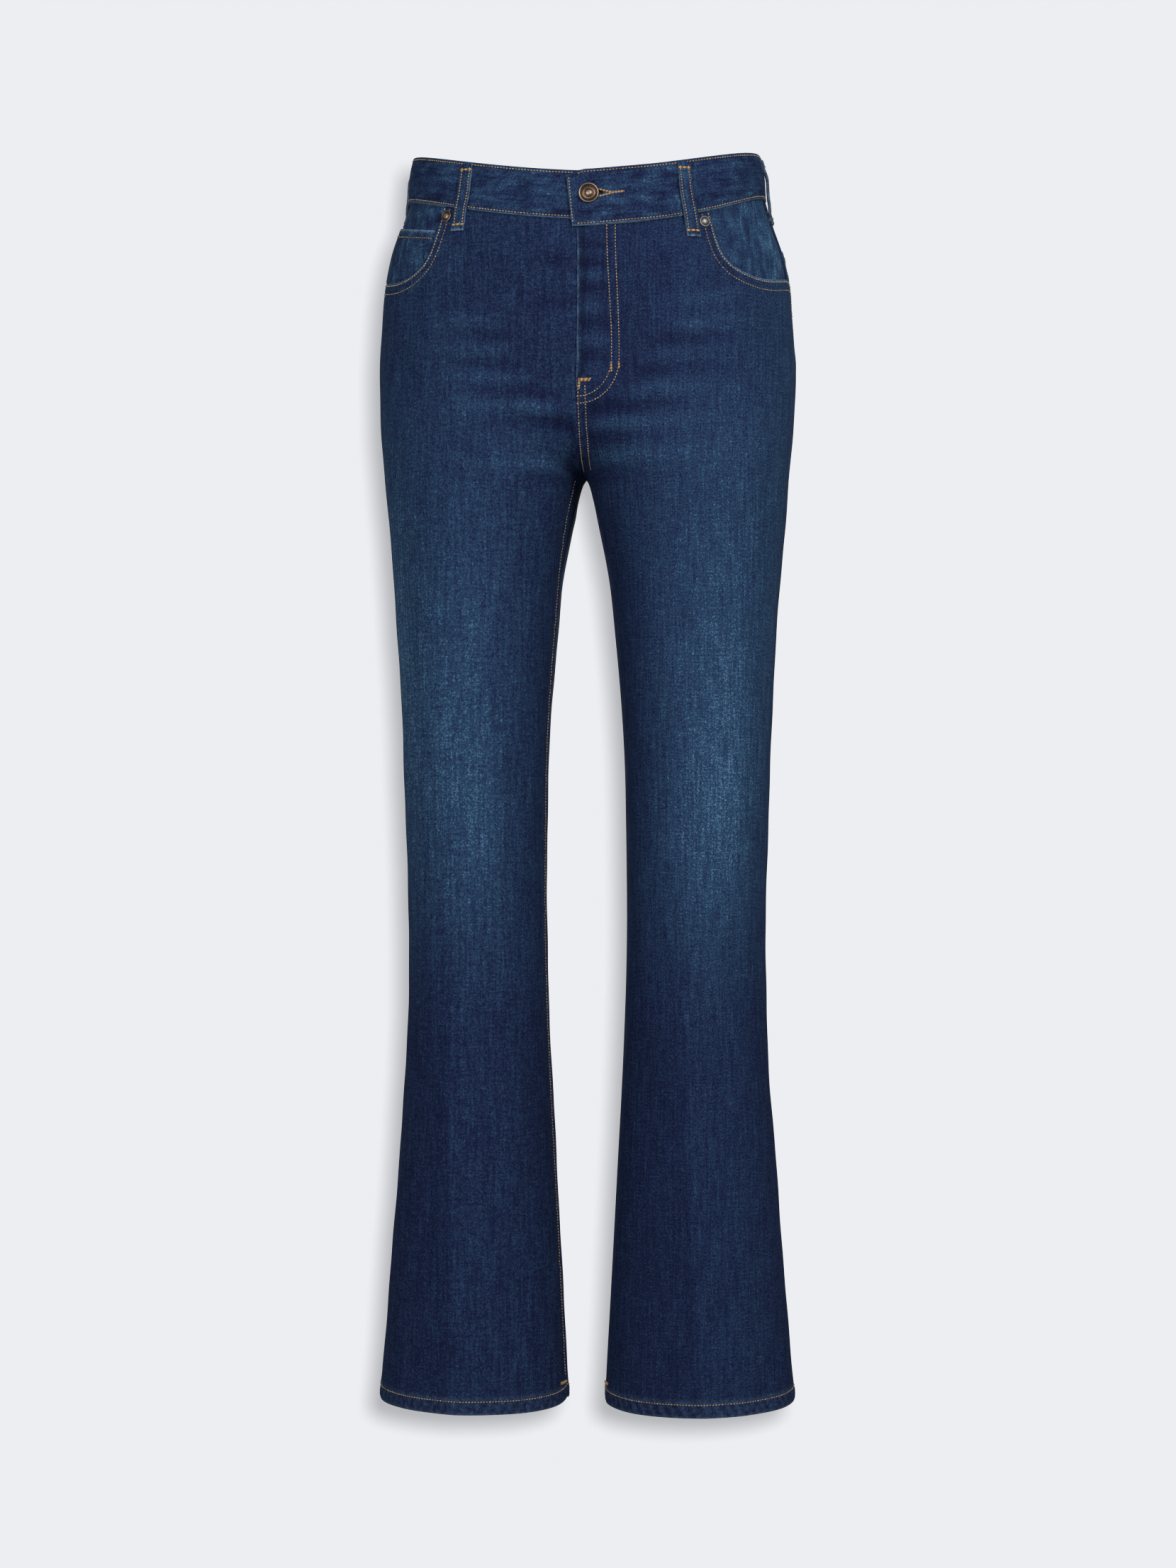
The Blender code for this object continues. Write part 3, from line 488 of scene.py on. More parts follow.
    def stand(
        self, half: Half, around: ndarray, z: ndarray, lifts: Sequence[ndarray | float]
    ) -> list[ndarray]:
        """Points of the dressed form at several distances outside it.

        Args:
            half: The half they are on.
            around: Their around, which below 0 or over 2 is past the middle.
            z: Their heights.
            lifts: How far outside the form each set of points stands.

        Returns:
            One array of points for each lift.
        """
        around, z = np.broadcast_arrays(np.asarray(around, float), np.asarray(z, float))
        over = 2.0 - np.abs(2.0 - np.abs(around))
        base, normal, height = self.shape(over, z), self.outward(over, z), self.relief(half, over, z)
        side = np.where((around < 0) | (around > 2), -half.value, half.value)
        made = []
        for lift in lifts:
            points = base + normal * (height + lift)[..., None]
            points[..., 0] *= side
            made.append(points)
        return made

    def around_at(self, x: float, z: float) -> float:
        """The around of a place in front that is x across from the centre front, at a height."""
        tries = np.linspace(0.0, 1.0, 801)
        place = float(np.interp(abs(x), self.shape(tries, z)[:, 0], tries))
        return math.copysign(place, x)

    def step(self, around: ndarray | float, z: ndarray | float, distance: float) -> ndarray:
        """How much around changes over a distance along the cloth."""
        small = 0.004
        inside = np.clip(around, small, 2.0 - small)
        run = np.linalg.norm(self.shape(inside + small, z) - self.shape(inside - small, z), axis=-1)
        return distance * 2.0 * small / run


@dataclass
class Pattern:
    """The seams that divide the form into pieces."""

    form: JeansForm
    cloth: float = 0.0012
    double_cloth: float = 0.0024
    loop_cloth: float = 0.0016
    seam_gap: float = 0.00004
    join_z: float = -0.210
    hem_z: float = -1.0293
    hem_depth: float = 0.012
    hem_proud: float = 0.0004
    hem_dip_top: float = -0.88
    hem_dip: float = 0.0072
    top_front_z: float = -0.0088
    top_side_z: float = 0.0160
    top_back_z: float = 0.0220
    band_front: float = 0.0405
    band_side: float = 0.0375
    band_clear: float = 0.00004
    band_proud: float = 0.0006
    lap_drop: float = 0.0068
    lap_lift: float = 0.0028
    yoke_side: float = 0.016
    yoke_back: float = 0.062
    pocket_start_left: float = 0.452
    pocket_start_right: float = 0.490
    pocket_low_z: float = -0.0955
    pocket_side_rise: float = 0.0070
    pocket_square: float = 4.4
    facing_sink: float = 0.0019
    leg_rows: int = 215
    hem_rows: int = 9

    def pocket_start(self, half: Half) -> float:
        """Where the pocket's scoop leaves the waist seam, as around."""
        return self.pocket_start_left if half is Half.LEFT else self.pocket_start_right

    @staticmethod
    def waist_share(around: ndarray | float) -> ndarray:
        """How far up from the centre front towards the side the waist has risen."""
        share = np.clip(np.abs(around), 0.0, 1.0)
        return 0.4 * np.sin(0.5 * math.pi * share) + 0.6 * ramp(share)

    def band_height(self, around: ndarray | float) -> ndarray:
        """Height of the waistband, without the lap's extra depth."""
        return self.band_front + (self.band_side - self.band_front) * self.waist_share(around)

    def waist_top(self, around: ndarray | float) -> ndarray:
        """Height of the waistband's top edge."""
        rise = np.sin(0.5 * math.pi * np.clip(around - 1.0, 0.0, 1.0)) ** 2
        front = self.top_front_z + (self.top_side_z - self.top_front_z) * self.waist_share(around)
        return front + (self.top_back_z - self.top_side_z) * rise

    def drop(self, around: ndarray | float) -> ndarray:
        """How much lower the waist seam is on the lapping side."""
        return self.lap_drop * (1.0 - ramp((np.abs(around) - 0.25) / 0.75))

    def waist_seam(self, half: Half, around: ndarray | float) -> ndarray:
        """Height of the seam under the waistband."""
        around = np.asarray(around, float)
        lap = self.drop(around) if half is Half.LEFT else 0.0
        return self.waist_top(np.abs(around)) - self.band_height(around) - lap

    def yoke_seam(self, half: Half, around: ndarray | float) -> ndarray:
        """Height of the seam under the yoke."""
        share = np.asarray(around, float) - 1.0
        fall = self.yoke_side + (self.yoke_back - self.yoke_side) * np.clip(share, 0, 1) ** 1.15
        return self.waist_seam(half, around) - fall

    def scoop_z(self, half: Half, around: ndarray | float) -> ndarray:
        """Height of the front pocket's edge."""
        start = self.pocket_start(half)
        top = self.waist_seam(half, start)
        share = np.clip((1.0 - around) / (1.0 - start), 0.0, 1.0)
        fall = (1.0 - share**self.pocket_square) ** (1.0 / self.pocket_square)
        rise = self.pocket_side_rise * ramp((np.asarray(around) - 0.62) / 0.38)
        return top - (top - self.pocket_low_z) * fall + rise

    def scoop_line(self, half: Half) -> tuple[ndarray, ndarray]:
        """The pocket's edge from the waist seam to the side seam, finely, as (around, z)."""
        start = self.pocket_start(half)
        share = np.linspace(0.0, 1.0, 900) ** 3
        around = start + (1.0 - start) * share
        return around, self.scoop_z(half, around)

    def dip(self, around: ndarray) -> ndarray:
        """How much lower the hem is than at the seams. It dips most at the front and the back."""
        from_middle = np.clip(np.minimum(around, 2.0 - around), 0.0, 1.0)
        return self.hem_dip * np.sin(math.pi * from_middle**0.75) ** 0.8

    def leg_z(self, around: ndarray, z: ndarray | float) -> ndarray:
        """Heights of a row that is level above the hem and follows the hem's dip lower down."""
        return z - self.dip(around) * ramp((self.hem_dip_top - z) / 0.14)

    def level_rows(self) -> ndarray:
        """Heights of the level rows of a front or a back, down to the hem."""
        hem_top = self.hem_z + self.hem_depth
        legs = np.linspace(self.join_z, hem_top, self.leg_rows)[1:]
        return np.concatenate([legs, np.linspace(hem_top, self.hem_z, self.hem_rows)[1:]])

    def part_seams(self, around: ndarray, z: ndarray) -> None:
        """Draws the first and last columns of a grid in from the seams that they lie on."""
        around[:, 0] += self.form.step(around[:, 0], z[:, 0], self.seam_gap / 2)
        around[:, -1] -= self.form.step(around[:, -1], z[:, -1], self.seam_gap / 2)

    def fly_lift(self, around: ndarray, z: ndarray) -> ndarray:
        """How far the lapping front is lifted over the other one beside the fly."""
        across = self.form.shape(np.abs(around), z)[..., 0]
        beside = 1.0 - ramp((across - 0.018) / 0.034)
        return 0.0019 * beside * (1.0 - ramp((-0.186 - z) / 0.024))


class Finishes(NamedTuple):
    """The materials of the garment."""

    denim: Material
    band: Material
    inside: Material
    thread: Material
    tack: Material
    copper: Material
    pewter: Material


class Graph:
    """A material's nodes, with short calls that add and join them."""

    def __init__(self, name: str) -> None:
        """Starts a material with only its shader and output."""
        self.material = bpy.data.materials.new(name)
        self.material.use_nodes = True
        self.tree = self.material.node_tree
        self.shader = self.tree.nodes["Principled BSDF"]

    def add(self, kind: str, inputs: dict | None = None, **settings: object) -> bpy.types.Node:
        """Adds a node.

        Args:
            kind: The node's type, without the leading ShaderNode.
            inputs: Values or sockets for its inputs, by name or number.
            **settings: Its properties.

        Returns:
            The node.
        """
        node = self.tree.nodes.new("ShaderNode" + kind)
        for name, value in settings.items():
            setattr(node, name, value)
        for name, value in (inputs or {}).items():
            self.feed(node.inputs[name], value)
        return node

    def feed(self, socket: NodeSocket, value: object) -> None:
        """Links a socket, or sets its value."""
        if isinstance(value, NodeSocket):
            self.tree.links.new(value, socket)
        else:
            socket.default_value = value

    def settle(self, **values: object) -> None:
        """Sets the shader's own sockets, where an underscore stands for a space in their names."""
        for name, value in values.items():
            self.shader.inputs[name.replace("_", " ")].default_value = value

    def roughen(self, height: NodeSocket, distance: float, strength: float) -> None:
        """Feeds a bump to the shader."""
        bump = self.add("Bump", {"Height": height, "Distance": distance, "Strength": strength})
        self.feed(self.shader.inputs["Normal"], bump.outputs[0])

    def math(self, operation: str, *values: object) -> NodeSocket:
        """The result of a Math node."""
        return self.add("Math", dict(enumerate(values)), operation=operation).outputs[0]

    def attribute(self, name: str, output: str = "Fac") -> NodeSocket:
        """A value kept in the mesh."""
        return self.add("Attribute", attribute_name=name).outputs[output]

    def noise(self, place: NodeSocket, stretch: Sequence[float], **inputs: float) -> NodeSocket:
        """Noise over a place, with cells of the sizes in stretch, in metres.

        Args:
            place: Coordinates in metres.
            stretch: The size of a cell along each coordinate.
            **inputs: The texture's own inputs.

        Returns:
            The socket with the noise, from 0 to 1.
        """
        scale = tuple(1.0 / size for size in stretch)
        spot = self.add("VectorMath", {0: place, 1: scale}, operation="MULTIPLY").outputs[0]
        made = {"Vector": spot, "Scale": 1.0, "Detail": 2.0, **inputs}
        return self.add("TexNoise", made).outputs["Fac"]

    def around_zero(self, value: object, size: float) -> NodeSocket:
        """A 0 to 1 value as one from -size to size."""
        return self.math("MULTIPLY", self.math("SUBTRACT", value, 0.5), 2.0 * size)

    def total(self, *values: object) -> NodeSocket:
        """The sum of several values."""
        made = values[0]
        for value in values[1:]:
            made = self.math("ADD", made, value)
        return made

    def ramp(self, value: object, stops: Sequence[tuple[float, Sequence[float]]]) -> NodeSocket:
        """A colour that follows a value through its stops."""
        node = self.add("ValToRGB", {0: value})
        node.color_ramp.interpolation = "LINEAR"
        for i, (place, colour) in enumerate(stops):
            stop = node.color_ramp.elements[i] if i < 2 else node.color_ramp.elements.new(place)
            stop.position = place
            stop.color = (*colour, 1.0)
        return node.outputs["Color"]

    def mix(self, share: object, first: object, second: object) -> NodeSocket:
        """A colour between two."""
        node = self.add("Mix", data_type="RGBA")
        for socket, value in zip((node.inputs[0], node.inputs[6], node.inputs[7]), (share, first, second)):
            self.feed(socket, value)
        return node.outputs[2]


@dataclass(frozen=True)
class DenimFinish:
    """Indigo twill: the warp's slubs run down the cloth, worn places show the pale weft, and painted shade
    darkens it where its wear value is below 0.
    """

    name: str = "denim_twill"
    twill: float = 0.00082
    bump: float = 0.00030
    roughness: float = 0.86
    gain: float = 0.90
    slubs: float = 0.29
    mottles: float = 0.09
    grains: float = 0.86
    wefts: float = 0.16
    ribs: float = 0.035
    worn: tuple[float, float, float] = (0.190, 0.300, 0.430)
    # Painted shade: the near-black navy that the cloth is darkened towards where its wear value is below 0.
    soiled: tuple[float, float, float] = (0.0035, 0.0050, 0.0140)
    shades: tuple[tuple[float, tuple[float, float, float]], ...] = (
        (0.00, (0.0056, 0.0082, 0.0270)),
        (0.20, (0.0084, 0.0130, 0.0430)),
        (0.35, (0.0124, 0.0204, 0.0620)),
        (0.45, (0.0170, 0.0310, 0.0830)),
        (0.60, (0.0222, 0.0513, 0.1095)),
        (0.75, (0.0307, 0.0723, 0.1441)),
        (0.88, (0.0545, 0.1384, 0.2542)),
        (1.00, (0.1413, 0.2623, 0.4125)),
    )

    def build(self) -> Material:
        """Makes the material.

        Returns:
            The denim's material.
        """
        g = Graph(self.name)
        place = g.attribute("cloth", "Vector")
        fade, wear = g.attribute("fade"), g.attribute("wear")
        split = g.add("SeparateXYZ", {0: place})
        across, along = split.outputs[0], split.outputs[1]
        slub = g.noise(place, (0.0020, 0.036, 1.0), Detail=3.0, Roughness=0.65)
        grain = g.noise(place, (0.0012, 0.0014, 1.0), Detail=3.0, Roughness=0.75)
        weft = g.noise(place, (0.0140, 0.0011, 1.0), Detail=2.0)
        mottle = g.noise(place, (0.007, 0.014, 1.0), Detail=3.0)
        wobble = g.around_zero(g.noise(place, (0.004, 0.02, 1.0)), 1.6)
        steps = g.math("ADD", g.math("MULTIPLY", along, 0.45), across)
        turn = g.math("ADD", g.math("MULTIPLY", steps, 2 * math.pi / self.twill), wobble)
        twill = g.math("MULTIPLY_ADD", g.math("SINE", turn), 0.5, 0.5)
        share = g.total(
            fade,
            g.around_zero(slub, self.slubs),
            g.around_zero(grain, self.grains),
            g.around_zero(weft, self.wefts),
            g.around_zero(mottle, self.mottles),
            g.around_zero(twill, self.ribs),
        )
        stops = [(at, tuple(self.gain * part for part in shade)) for at, shade in self.shades]
        colour = g.ramp(share, stops)
        patchy = g.noise(place, (0.0022, 0.0028, 1.0), Detail=4.0, Roughness=0.7)
        rubbed = g.math("MULTIPLY", wear, g.math("MULTIPLY_ADD", patchy, 3.2, -0.95))
        rubbed = g.math("MINIMUM", g.math("MAXIMUM", rubbed, 0.0), 0.90)
        # Where the wear value is below 0 the colour is painted darker: painted shade in stitch grooves, under
        # the waistband and along the leg seams, and a darker line inside the fly's edge.
        shaded = g.math("MAXIMUM", g.math("MULTIPLY", wear, -1.0), 0.0)
        colour = g.mix(shaded, colour, (*self.soiled, 1.0))
        g.feed(g.shader.inputs["Base Color"], g.mix(rubbed, colour, (*self.worn, 1.0)))
        relief = g.total(
            g.math("MULTIPLY", twill, 0.35),
            g.math("MULTIPLY", grain, 0.9),
            g.math("MULTIPLY", slub, 0.8),
        )
        g.roughen(relief, self.bump, 0.55)
        g.settle(Roughness=self.roughness, Specular_IOR_Level=0.04, Sheen_Weight=0.01)
        g.settle(Sheen_Roughness=0.50, Sheen_Tint=(0.45, 0.62, 1.0, 1.0))
        return g.material


@dataclass(frozen=True)
class InsideFinish:
    """The cloth's inner face, where the undyed weft shows between blue floats."""

    name: str = "denim_inside"
    weft: tuple[float, float, float] = (0.190, 0.225, 0.270)
    float_blue: tuple[float, float, float] = (0.060, 0.085, 0.135)
    twill: float = 0.00090

    def build(self) -> Material:
        """Makes the material.

        Returns:
            The inner face's material.
        """
        g = Graph(self.name)
        place = g.attribute("cloth", "Vector")
        split = g.add("SeparateXYZ", {0: place})
        steps = g.math("SUBTRACT", split.outputs[0], g.math("MULTIPLY", split.outputs[1], 0.6))
        twill = g.math("SINE", g.math("MULTIPLY", steps, 2 * math.pi / self.twill))
        grain = g.noise(place, (0.0011, 0.0014, 1.0), Detail=3.0, Roughness=0.7)
        share = g.math("ADD", g.math("MULTIPLY", twill, 0.22), grain)
        colour = g.ramp(share, ((0.25, self.float_blue), (0.75, self.weft)))
        g.feed(g.shader.inputs["Base Color"], colour)
        g.roughen(share, 0.0003, 0.5)
        g.settle(Roughness=0.92, Specular_IOR_Level=0.10)
        return g.material


@dataclass(frozen=True)
class ThreadFinish:
    """Spun sewing thread. Its tone is kept in the mesh, a value for each stitch."""

    name: str
    # hole: painted shade, the colour of the dark pieces in the needle holes between stitches.
    hole: tuple[float, float, float]
    deep: tuple[float, float, float]
    plain: tuple[float, float, float]
    pale: tuple[float, float, float]

    def build(self) -> Material:
        """Makes the material.

        Returns:
            The thread's material.
        """
        g = Graph(self.name)
        tone = g.attribute("tone")
        place = g.add("TexCoord").outputs["Object"]
        fibres = g.noise(place, (0.0003, 0.0003, 0.0003), Detail=2.0)
        share = g.math("ADD", tone, g.around_zero(fibres, 0.25))
        # The lowest stop is painted shade, for the needle holes.
        colour = g.ramp(share, ((0.12, self.hole), (0.30, self.deep), (0.55, self.plain), (1.0, self.pale)))
        g.feed(g.shader.inputs["Base Color"], colour)
        g.roughen(fibres, 0.0002, 0.5)
        g.settle(Roughness=0.62, Specular_IOR_Level=0.25, Sheen_Weight=0.15)
        return g.material


@dataclass(frozen=True)
class MetalFinish:
    """Antiqued metal: dark in its hollows, rubbed bright on its high places."""

    name: str
    base: tuple[float, float, float]
    bright: tuple[float, float, float]
    dark: tuple[float, float, float]
    roughness: float = 0.38

    def build(self) -> Material:
        """Makes the material.

        Returns:
            The metal's material.
        """
        g = Graph(self.name)
        place = g.add("TexCoord").outputs["Object"]
        spots = g.noise(place, (0.0012, 0.0012, 0.0012), Detail=4.0, Roughness=0.7)
        rubbed = g.attribute("rubbed")
        share = g.total(g.math("MULTIPLY", rubbed, 0.75), g.math("MULTIPLY", spots, 0.35))
        colour = g.ramp(share, ((0.08, self.dark), (0.45, self.base), (0.92, self.bright)))
        g.feed(g.shader.inputs["Base Color"], colour)
        rough = g.math("MULTIPLY_ADD", spots, 0.25, self.roughness - 0.12)
        g.feed(g.shader.inputs["Roughness"], rough)
        scratches = g.noise(place, (0.0004, 0.0020, 0.0004), Detail=3.0)
        g.roughen(scratches, 0.0001, 0.35)
        g.settle(Metallic=0.92)
        return g.material


# Painted shade: the near-black of the dark thread that stands for the shade in needle holes.
HOLE_SHADE = (0.010, 0.008, 0.012)
THREAD = ThreadFinish(
    "topstitch_thread", HOLE_SHADE, (0.16, 0.088, 0.042), (0.42, 0.280, 0.145), (0.70, 0.560, 0.370)
)
TACK = ThreadFinish("tack_thread", HOLE_SHADE, (0.18, 0.090, 0.030), (0.47, 0.270, 0.095), (0.70, 0.480, 0.240))
COPPER = MetalFinish(
    "antique_copper", (0.120, 0.078, 0.055), (0.340, 0.250, 0.185), (0.020, 0.012, 0.010)
)
PEWTER = MetalFinish(
    "antique_pewter", (0.130, 0.122, 0.115), (0.280, 0.265, 0.245), (0.020, 0.019, 0.020), 0.48
)


def make_finishes() -> Finishes:
    """Builds every material once."""
    return Finishes(
        denim=DenimFinish().build(),
        band=DenimFinish("denim_streaky", slubs=0.32, mottles=0.42).build(),
        inside=InsideFinish().build(),
        thread=THREAD.build(),
        tack=TACK.build(),
        copper=COPPER.build(),
        pewter=PEWTER.build(),
    )


class Glow(NamedTuple):
    """A soft oval of fading: its middle, its reach across, up and down, and its strength."""

    half: Half
    around: float
    z: float
    across: float
    up: float
    down: float
    strength: float


GLOWS = (
    Glow(R, 0.58, -0.45, 0.075, 0.210, 0.185, 0.165),
    Glow(R, 0.46, -0.47, 0.024, 0.220, 0.165, 0.060),
    Glow(R, 0.44, -0.55, 0.030, 0.060, 0.075, 0.040),
    Glow(R, 0.15, -0.10, 0.040, 0.050, 0.120, -0.060),
    Glow(R, 0.62, -0.075, 0.030, 0.040, 0.040, 0.050),
    Glow(R, 0.88, -0.38, 0.042, 0.190, 0.220, 0.260),
    Glow(L, 0.68, -0.50, 0.052, 0.270, 0.140, 0.185),
    Glow(L, 0.50, -0.46, 0.066, 0.210, 0.180, 0.125),
    Glow(L, 0.62, -0.56, 0.030, 0.080, 0.080, 0.025),
    Glow(L, 0.90, -0.40, 0.024, 0.300, 0.140, 0.140),
    # Partly painted shade between the legs and partly darker dye: this one darkens the inner thigh.
    Glow(L, 0.14, -0.42, 0.042, 0.300, 0.260, -0.065),
    Glow(L, 0.13, -0.11, 0.030, 0.060, 0.110, -0.060),
    Glow(L, 0.80, -0.110, 0.040, 0.030, 0.080, 0.090),
    Glow(L, 0.85, -0.060, 0.045, 0.045, 0.030, 0.185),
    Glow(L, 0.55, -0.585, 0.085, 0.140, 0.060, 0.070),
    Glow(R, 0.50, -0.575, 0.085, 0.140, 0.065, 0.075),
    Glow(L, 0.70, -0.90, 0.035, 0.200, 0.200, 0.035),
    Glow(L, 0.70, -0.235, 0.060, 0.060, 0.120, 0.060),
    Glow(L, 1.50, -0.20, 0.080, 0.080, 0.120, 0.160),
    Glow(R, 1.50, -0.20, 0.080, 0.080, 0.120, 0.160),
    Glow(L, 1.52, -0.47, 0.060, 0.160, 0.180, 0.150),
    Glow(R, 1.52, -0.47, 0.060, 0.160, 0.180, 0.150),
)


@dataclass
class Wash:
    """How the indigo has faded over the garment, with painted shade and light at its creases and folds."""

    hip: float = 0.420
    below_knee: float = 0.345
    knee_z: float = -0.640
    crease_step: float = 0.045
    crease_line: float = 0.085
    whisker: float = 175.0
    glows: tuple[Glow, ...] = GLOWS
    folds: tuple[Fold, ...] = SMALL_FOLDS + FLY_BUCKLES

    def fade(self, half: Half, around: ndarray, z: ndarray) -> ndarray:
        """How faded the cloth is at places, from 0 to 1, with painted shade and light at its creases and
        small folds.

        Args:
            half: The half they are on.
            around: Their around.
            z: Their heights.

        Returns:
            The fading, where about 0.4 is the plain dark wash.
        """
        made = self.hip + (self.below_knee - self.hip) * ramp((self.knee_z - z) / 0.09)
        for glow in self.glows:
            if glow.half is half:
                u = (around - glow.around) * FLAT_SCALE / glow.across
                v = (z - glow.z) / np.where(z > glow.z, glow.up, glow.down)
                made = made + glow.strength * np.exp(-(u * u + v * v))
        # The top of each small fold is rubbed pale, and its hollow is painted darker: painted shade in the
        # crease.
        for fold in self.folds:
            if fold.half is half:
                made = made + self.whisker * fold.height * JeansForm.fold_share(fold, around, z)
        # Painted shade and light: each crease is painted darker on one side and paler on the other, as light
        # from one side falls on it, and a paler line runs along its ridge.
        place = column(CREASE_PLACES, half.side, z)
        beside = (around - place) * FLAT_SCALE * half.value / 0.005
        pressed = ramp((-0.56 - z) / 0.16) * bell((around - place) * FLAT_SCALE, 0.075)
        line = self.crease_line * bell(beside, 0.45) * (0.7 + 0.3 * np.sin(z / 0.017))
        return made + pressed * (self.crease_step * np.tanh(beside) + line)


def mesh_object(name: str, points: ndarray, faces: ndarray) -> Object:
    """Makes a smooth mesh object.

    Args:
        name: Its name.
        points: Its vertices.
        faces: Its faces, all with the same number of corners, by vertex.

    Returns:
        The object, linked to the scene.
    """
    mesh = bpy.data.meshes.new(name)
    mesh.from_pydata(points.tolist(), [], faces.tolist())
    mesh.shade_smooth()
    made = bpy.data.objects.new(name, mesh)
    bpy.context.scene.collection.objects.link(made)
    return made


def keep_value(piece: Object, name: str, values: ndarray) -> None:
    """Keeps a number, or a vector, for each vertex of a piece."""
    kind = "FLOAT_VECTOR" if values.ndim == 2 else "FLOAT"
    kept = piece.data.attributes.new(name, kind, "POINT")
    kept.data.foreach_set("vector" if kind == "FLOAT_VECTOR" else "value", values.ravel().astype(float))


def hash_of(name: str) -> float:
    """A number for a name, the same in each run."""
    return sum((i + 1) * ord(letter) for i, letter in enumerate(name)) % 97 / 9.7


@dataclass
class ClothGrid:
    """The cloth of one node, as grids of points of its two faces."""

    node: str
    outer: ndarray
    inner: ndarray
    across: ndarray
    along: ndarray
    fade: ndarray
    wear: ndarray
    kept: ndarray | None = None

    def faces(self) -> tuple[ndarray, ndarray]:
        """Its faces by vertex. The inner face's vertices come after all of the outer one's.

        Returns:
            The outer face's, and those that close the edges.
        """
        rows, columns = self.outer.shape[:2]
        kept = np.ones((rows - 1, columns - 1), bool) if self.kept is None else self.kept
        index = np.arange(rows * columns).reshape(rows, columns)
        corners = (index[:-1, :-1], index[1:, :-1], index[1:, 1:], index[:-1, 1:])
        padded = np.pad(kept, 1)
        beside = (padded[1:-1, :-2], padded[2:, 1:-1], padded[1:-1, 2:], padded[:-2, 1:-1])
        rim = []
        for i, neighbour in enumerate(beside):
            open_side = kept & ~neighbour
            a, b = corners[i][open_side], corners[(i + 1) % 4][open_side]
            rim.append(np.stack([b, a, a + index.size, b + index.size], axis=1))
        return np.stack([corner[kept] for corner in corners], axis=1), np.concatenate(rim)

    def build(self, outside: Material, inside: Material) -> Object:
        """Makes the piece, closed all round.

        Args:
            outside: The material of its outer face and its edges.
            inside: The material of its inner face.

        Returns:
            The object.
        """
        front, edge = self.faces()
        count = self.across.size
        faces = np.concatenate([front, front[:, ::-1] + count, edge])
        points = np.concatenate([self.outer.reshape(-1, 3), self.inner.reshape(-1, 3)])
        middle = front[len(front) // 2]
        first = points[middle]
        normal = np.cross(first[2] - first[0], first[3] - first[1])
        if normal @ (first[0] - points[middle[0] + count]) < 0:
            faces = faces[:, ::-1]
        used, again = np.unique(faces, return_inverse=True)
        made = mesh_object(f"{self.node}_cloth", points[used], again.reshape(faces.shape))
        seed = np.full(self.across.shape, 3.0 * hash_of(self.node))
        cloth = np.stack([self.across, self.along, seed], axis=-1)
        keep_value(made, "cloth", np.concatenate([cloth.reshape(count, 3)] * 2)[used])
        for name in ("fade", "wear"):
            keep_value(made, name, np.concatenate([getattr(self, name).ravel()] * 2)[used])
        made.data.materials.append(outside)
        made.data.materials.append(inside)
        slots = np.zeros(len(faces), np.int32)
        slots[len(front) : 2 * len(front)] = 1
        made.data.polygons.foreach_set("material_index", slots)
        made.data.set_sharp_from_angle(angle=math.radians(50))
        return made

    def flat_size(self) -> tuple[tuple[float, float], float]:
        """The cut's width, length and area, measured along the cloth."""
        wide = np.linalg.norm(np.diff(self.outer, axis=1), axis=-1).sum(axis=1).max()
        long = np.linalg.norm(np.diff(self.outer, axis=0), axis=-1).sum(axis=0).max()
        a = self.outer[1:, :-1] - self.outer[:-1, :-1]
        b = self.outer[:-1, 1:] - self.outer[:-1, :-1]
        area = float(np.linalg.norm(np.cross(a, b), axis=-1).sum())
        return (float(wide), float(long)), min(area, float(wide * long))

    def lay(self, finishes: Finishes, slot: str, rests_on: Sequence[str]) -> Object:
        """Args:
            finishes: The garment's materials.
            slot: The record's name for its finish. The worn one is as streaky as the band.
            rests_on: The nodes that it is sewn to; not used.

        Returns:
            The object.
        """
        outside = finishes.band if slot == "denim_worn" else finishes.denim
        piece = self.build(outside, finishes.inside)
        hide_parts(self.node)
        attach(piece, "root")
        flat, area = self.flat_size()
        faces = len(piece.data.polygons)
        LOG.info("%s: %d faces, cut %.3f by %.3f m, %.4f m2", piece.name, faces, *flat, area)
        return piece


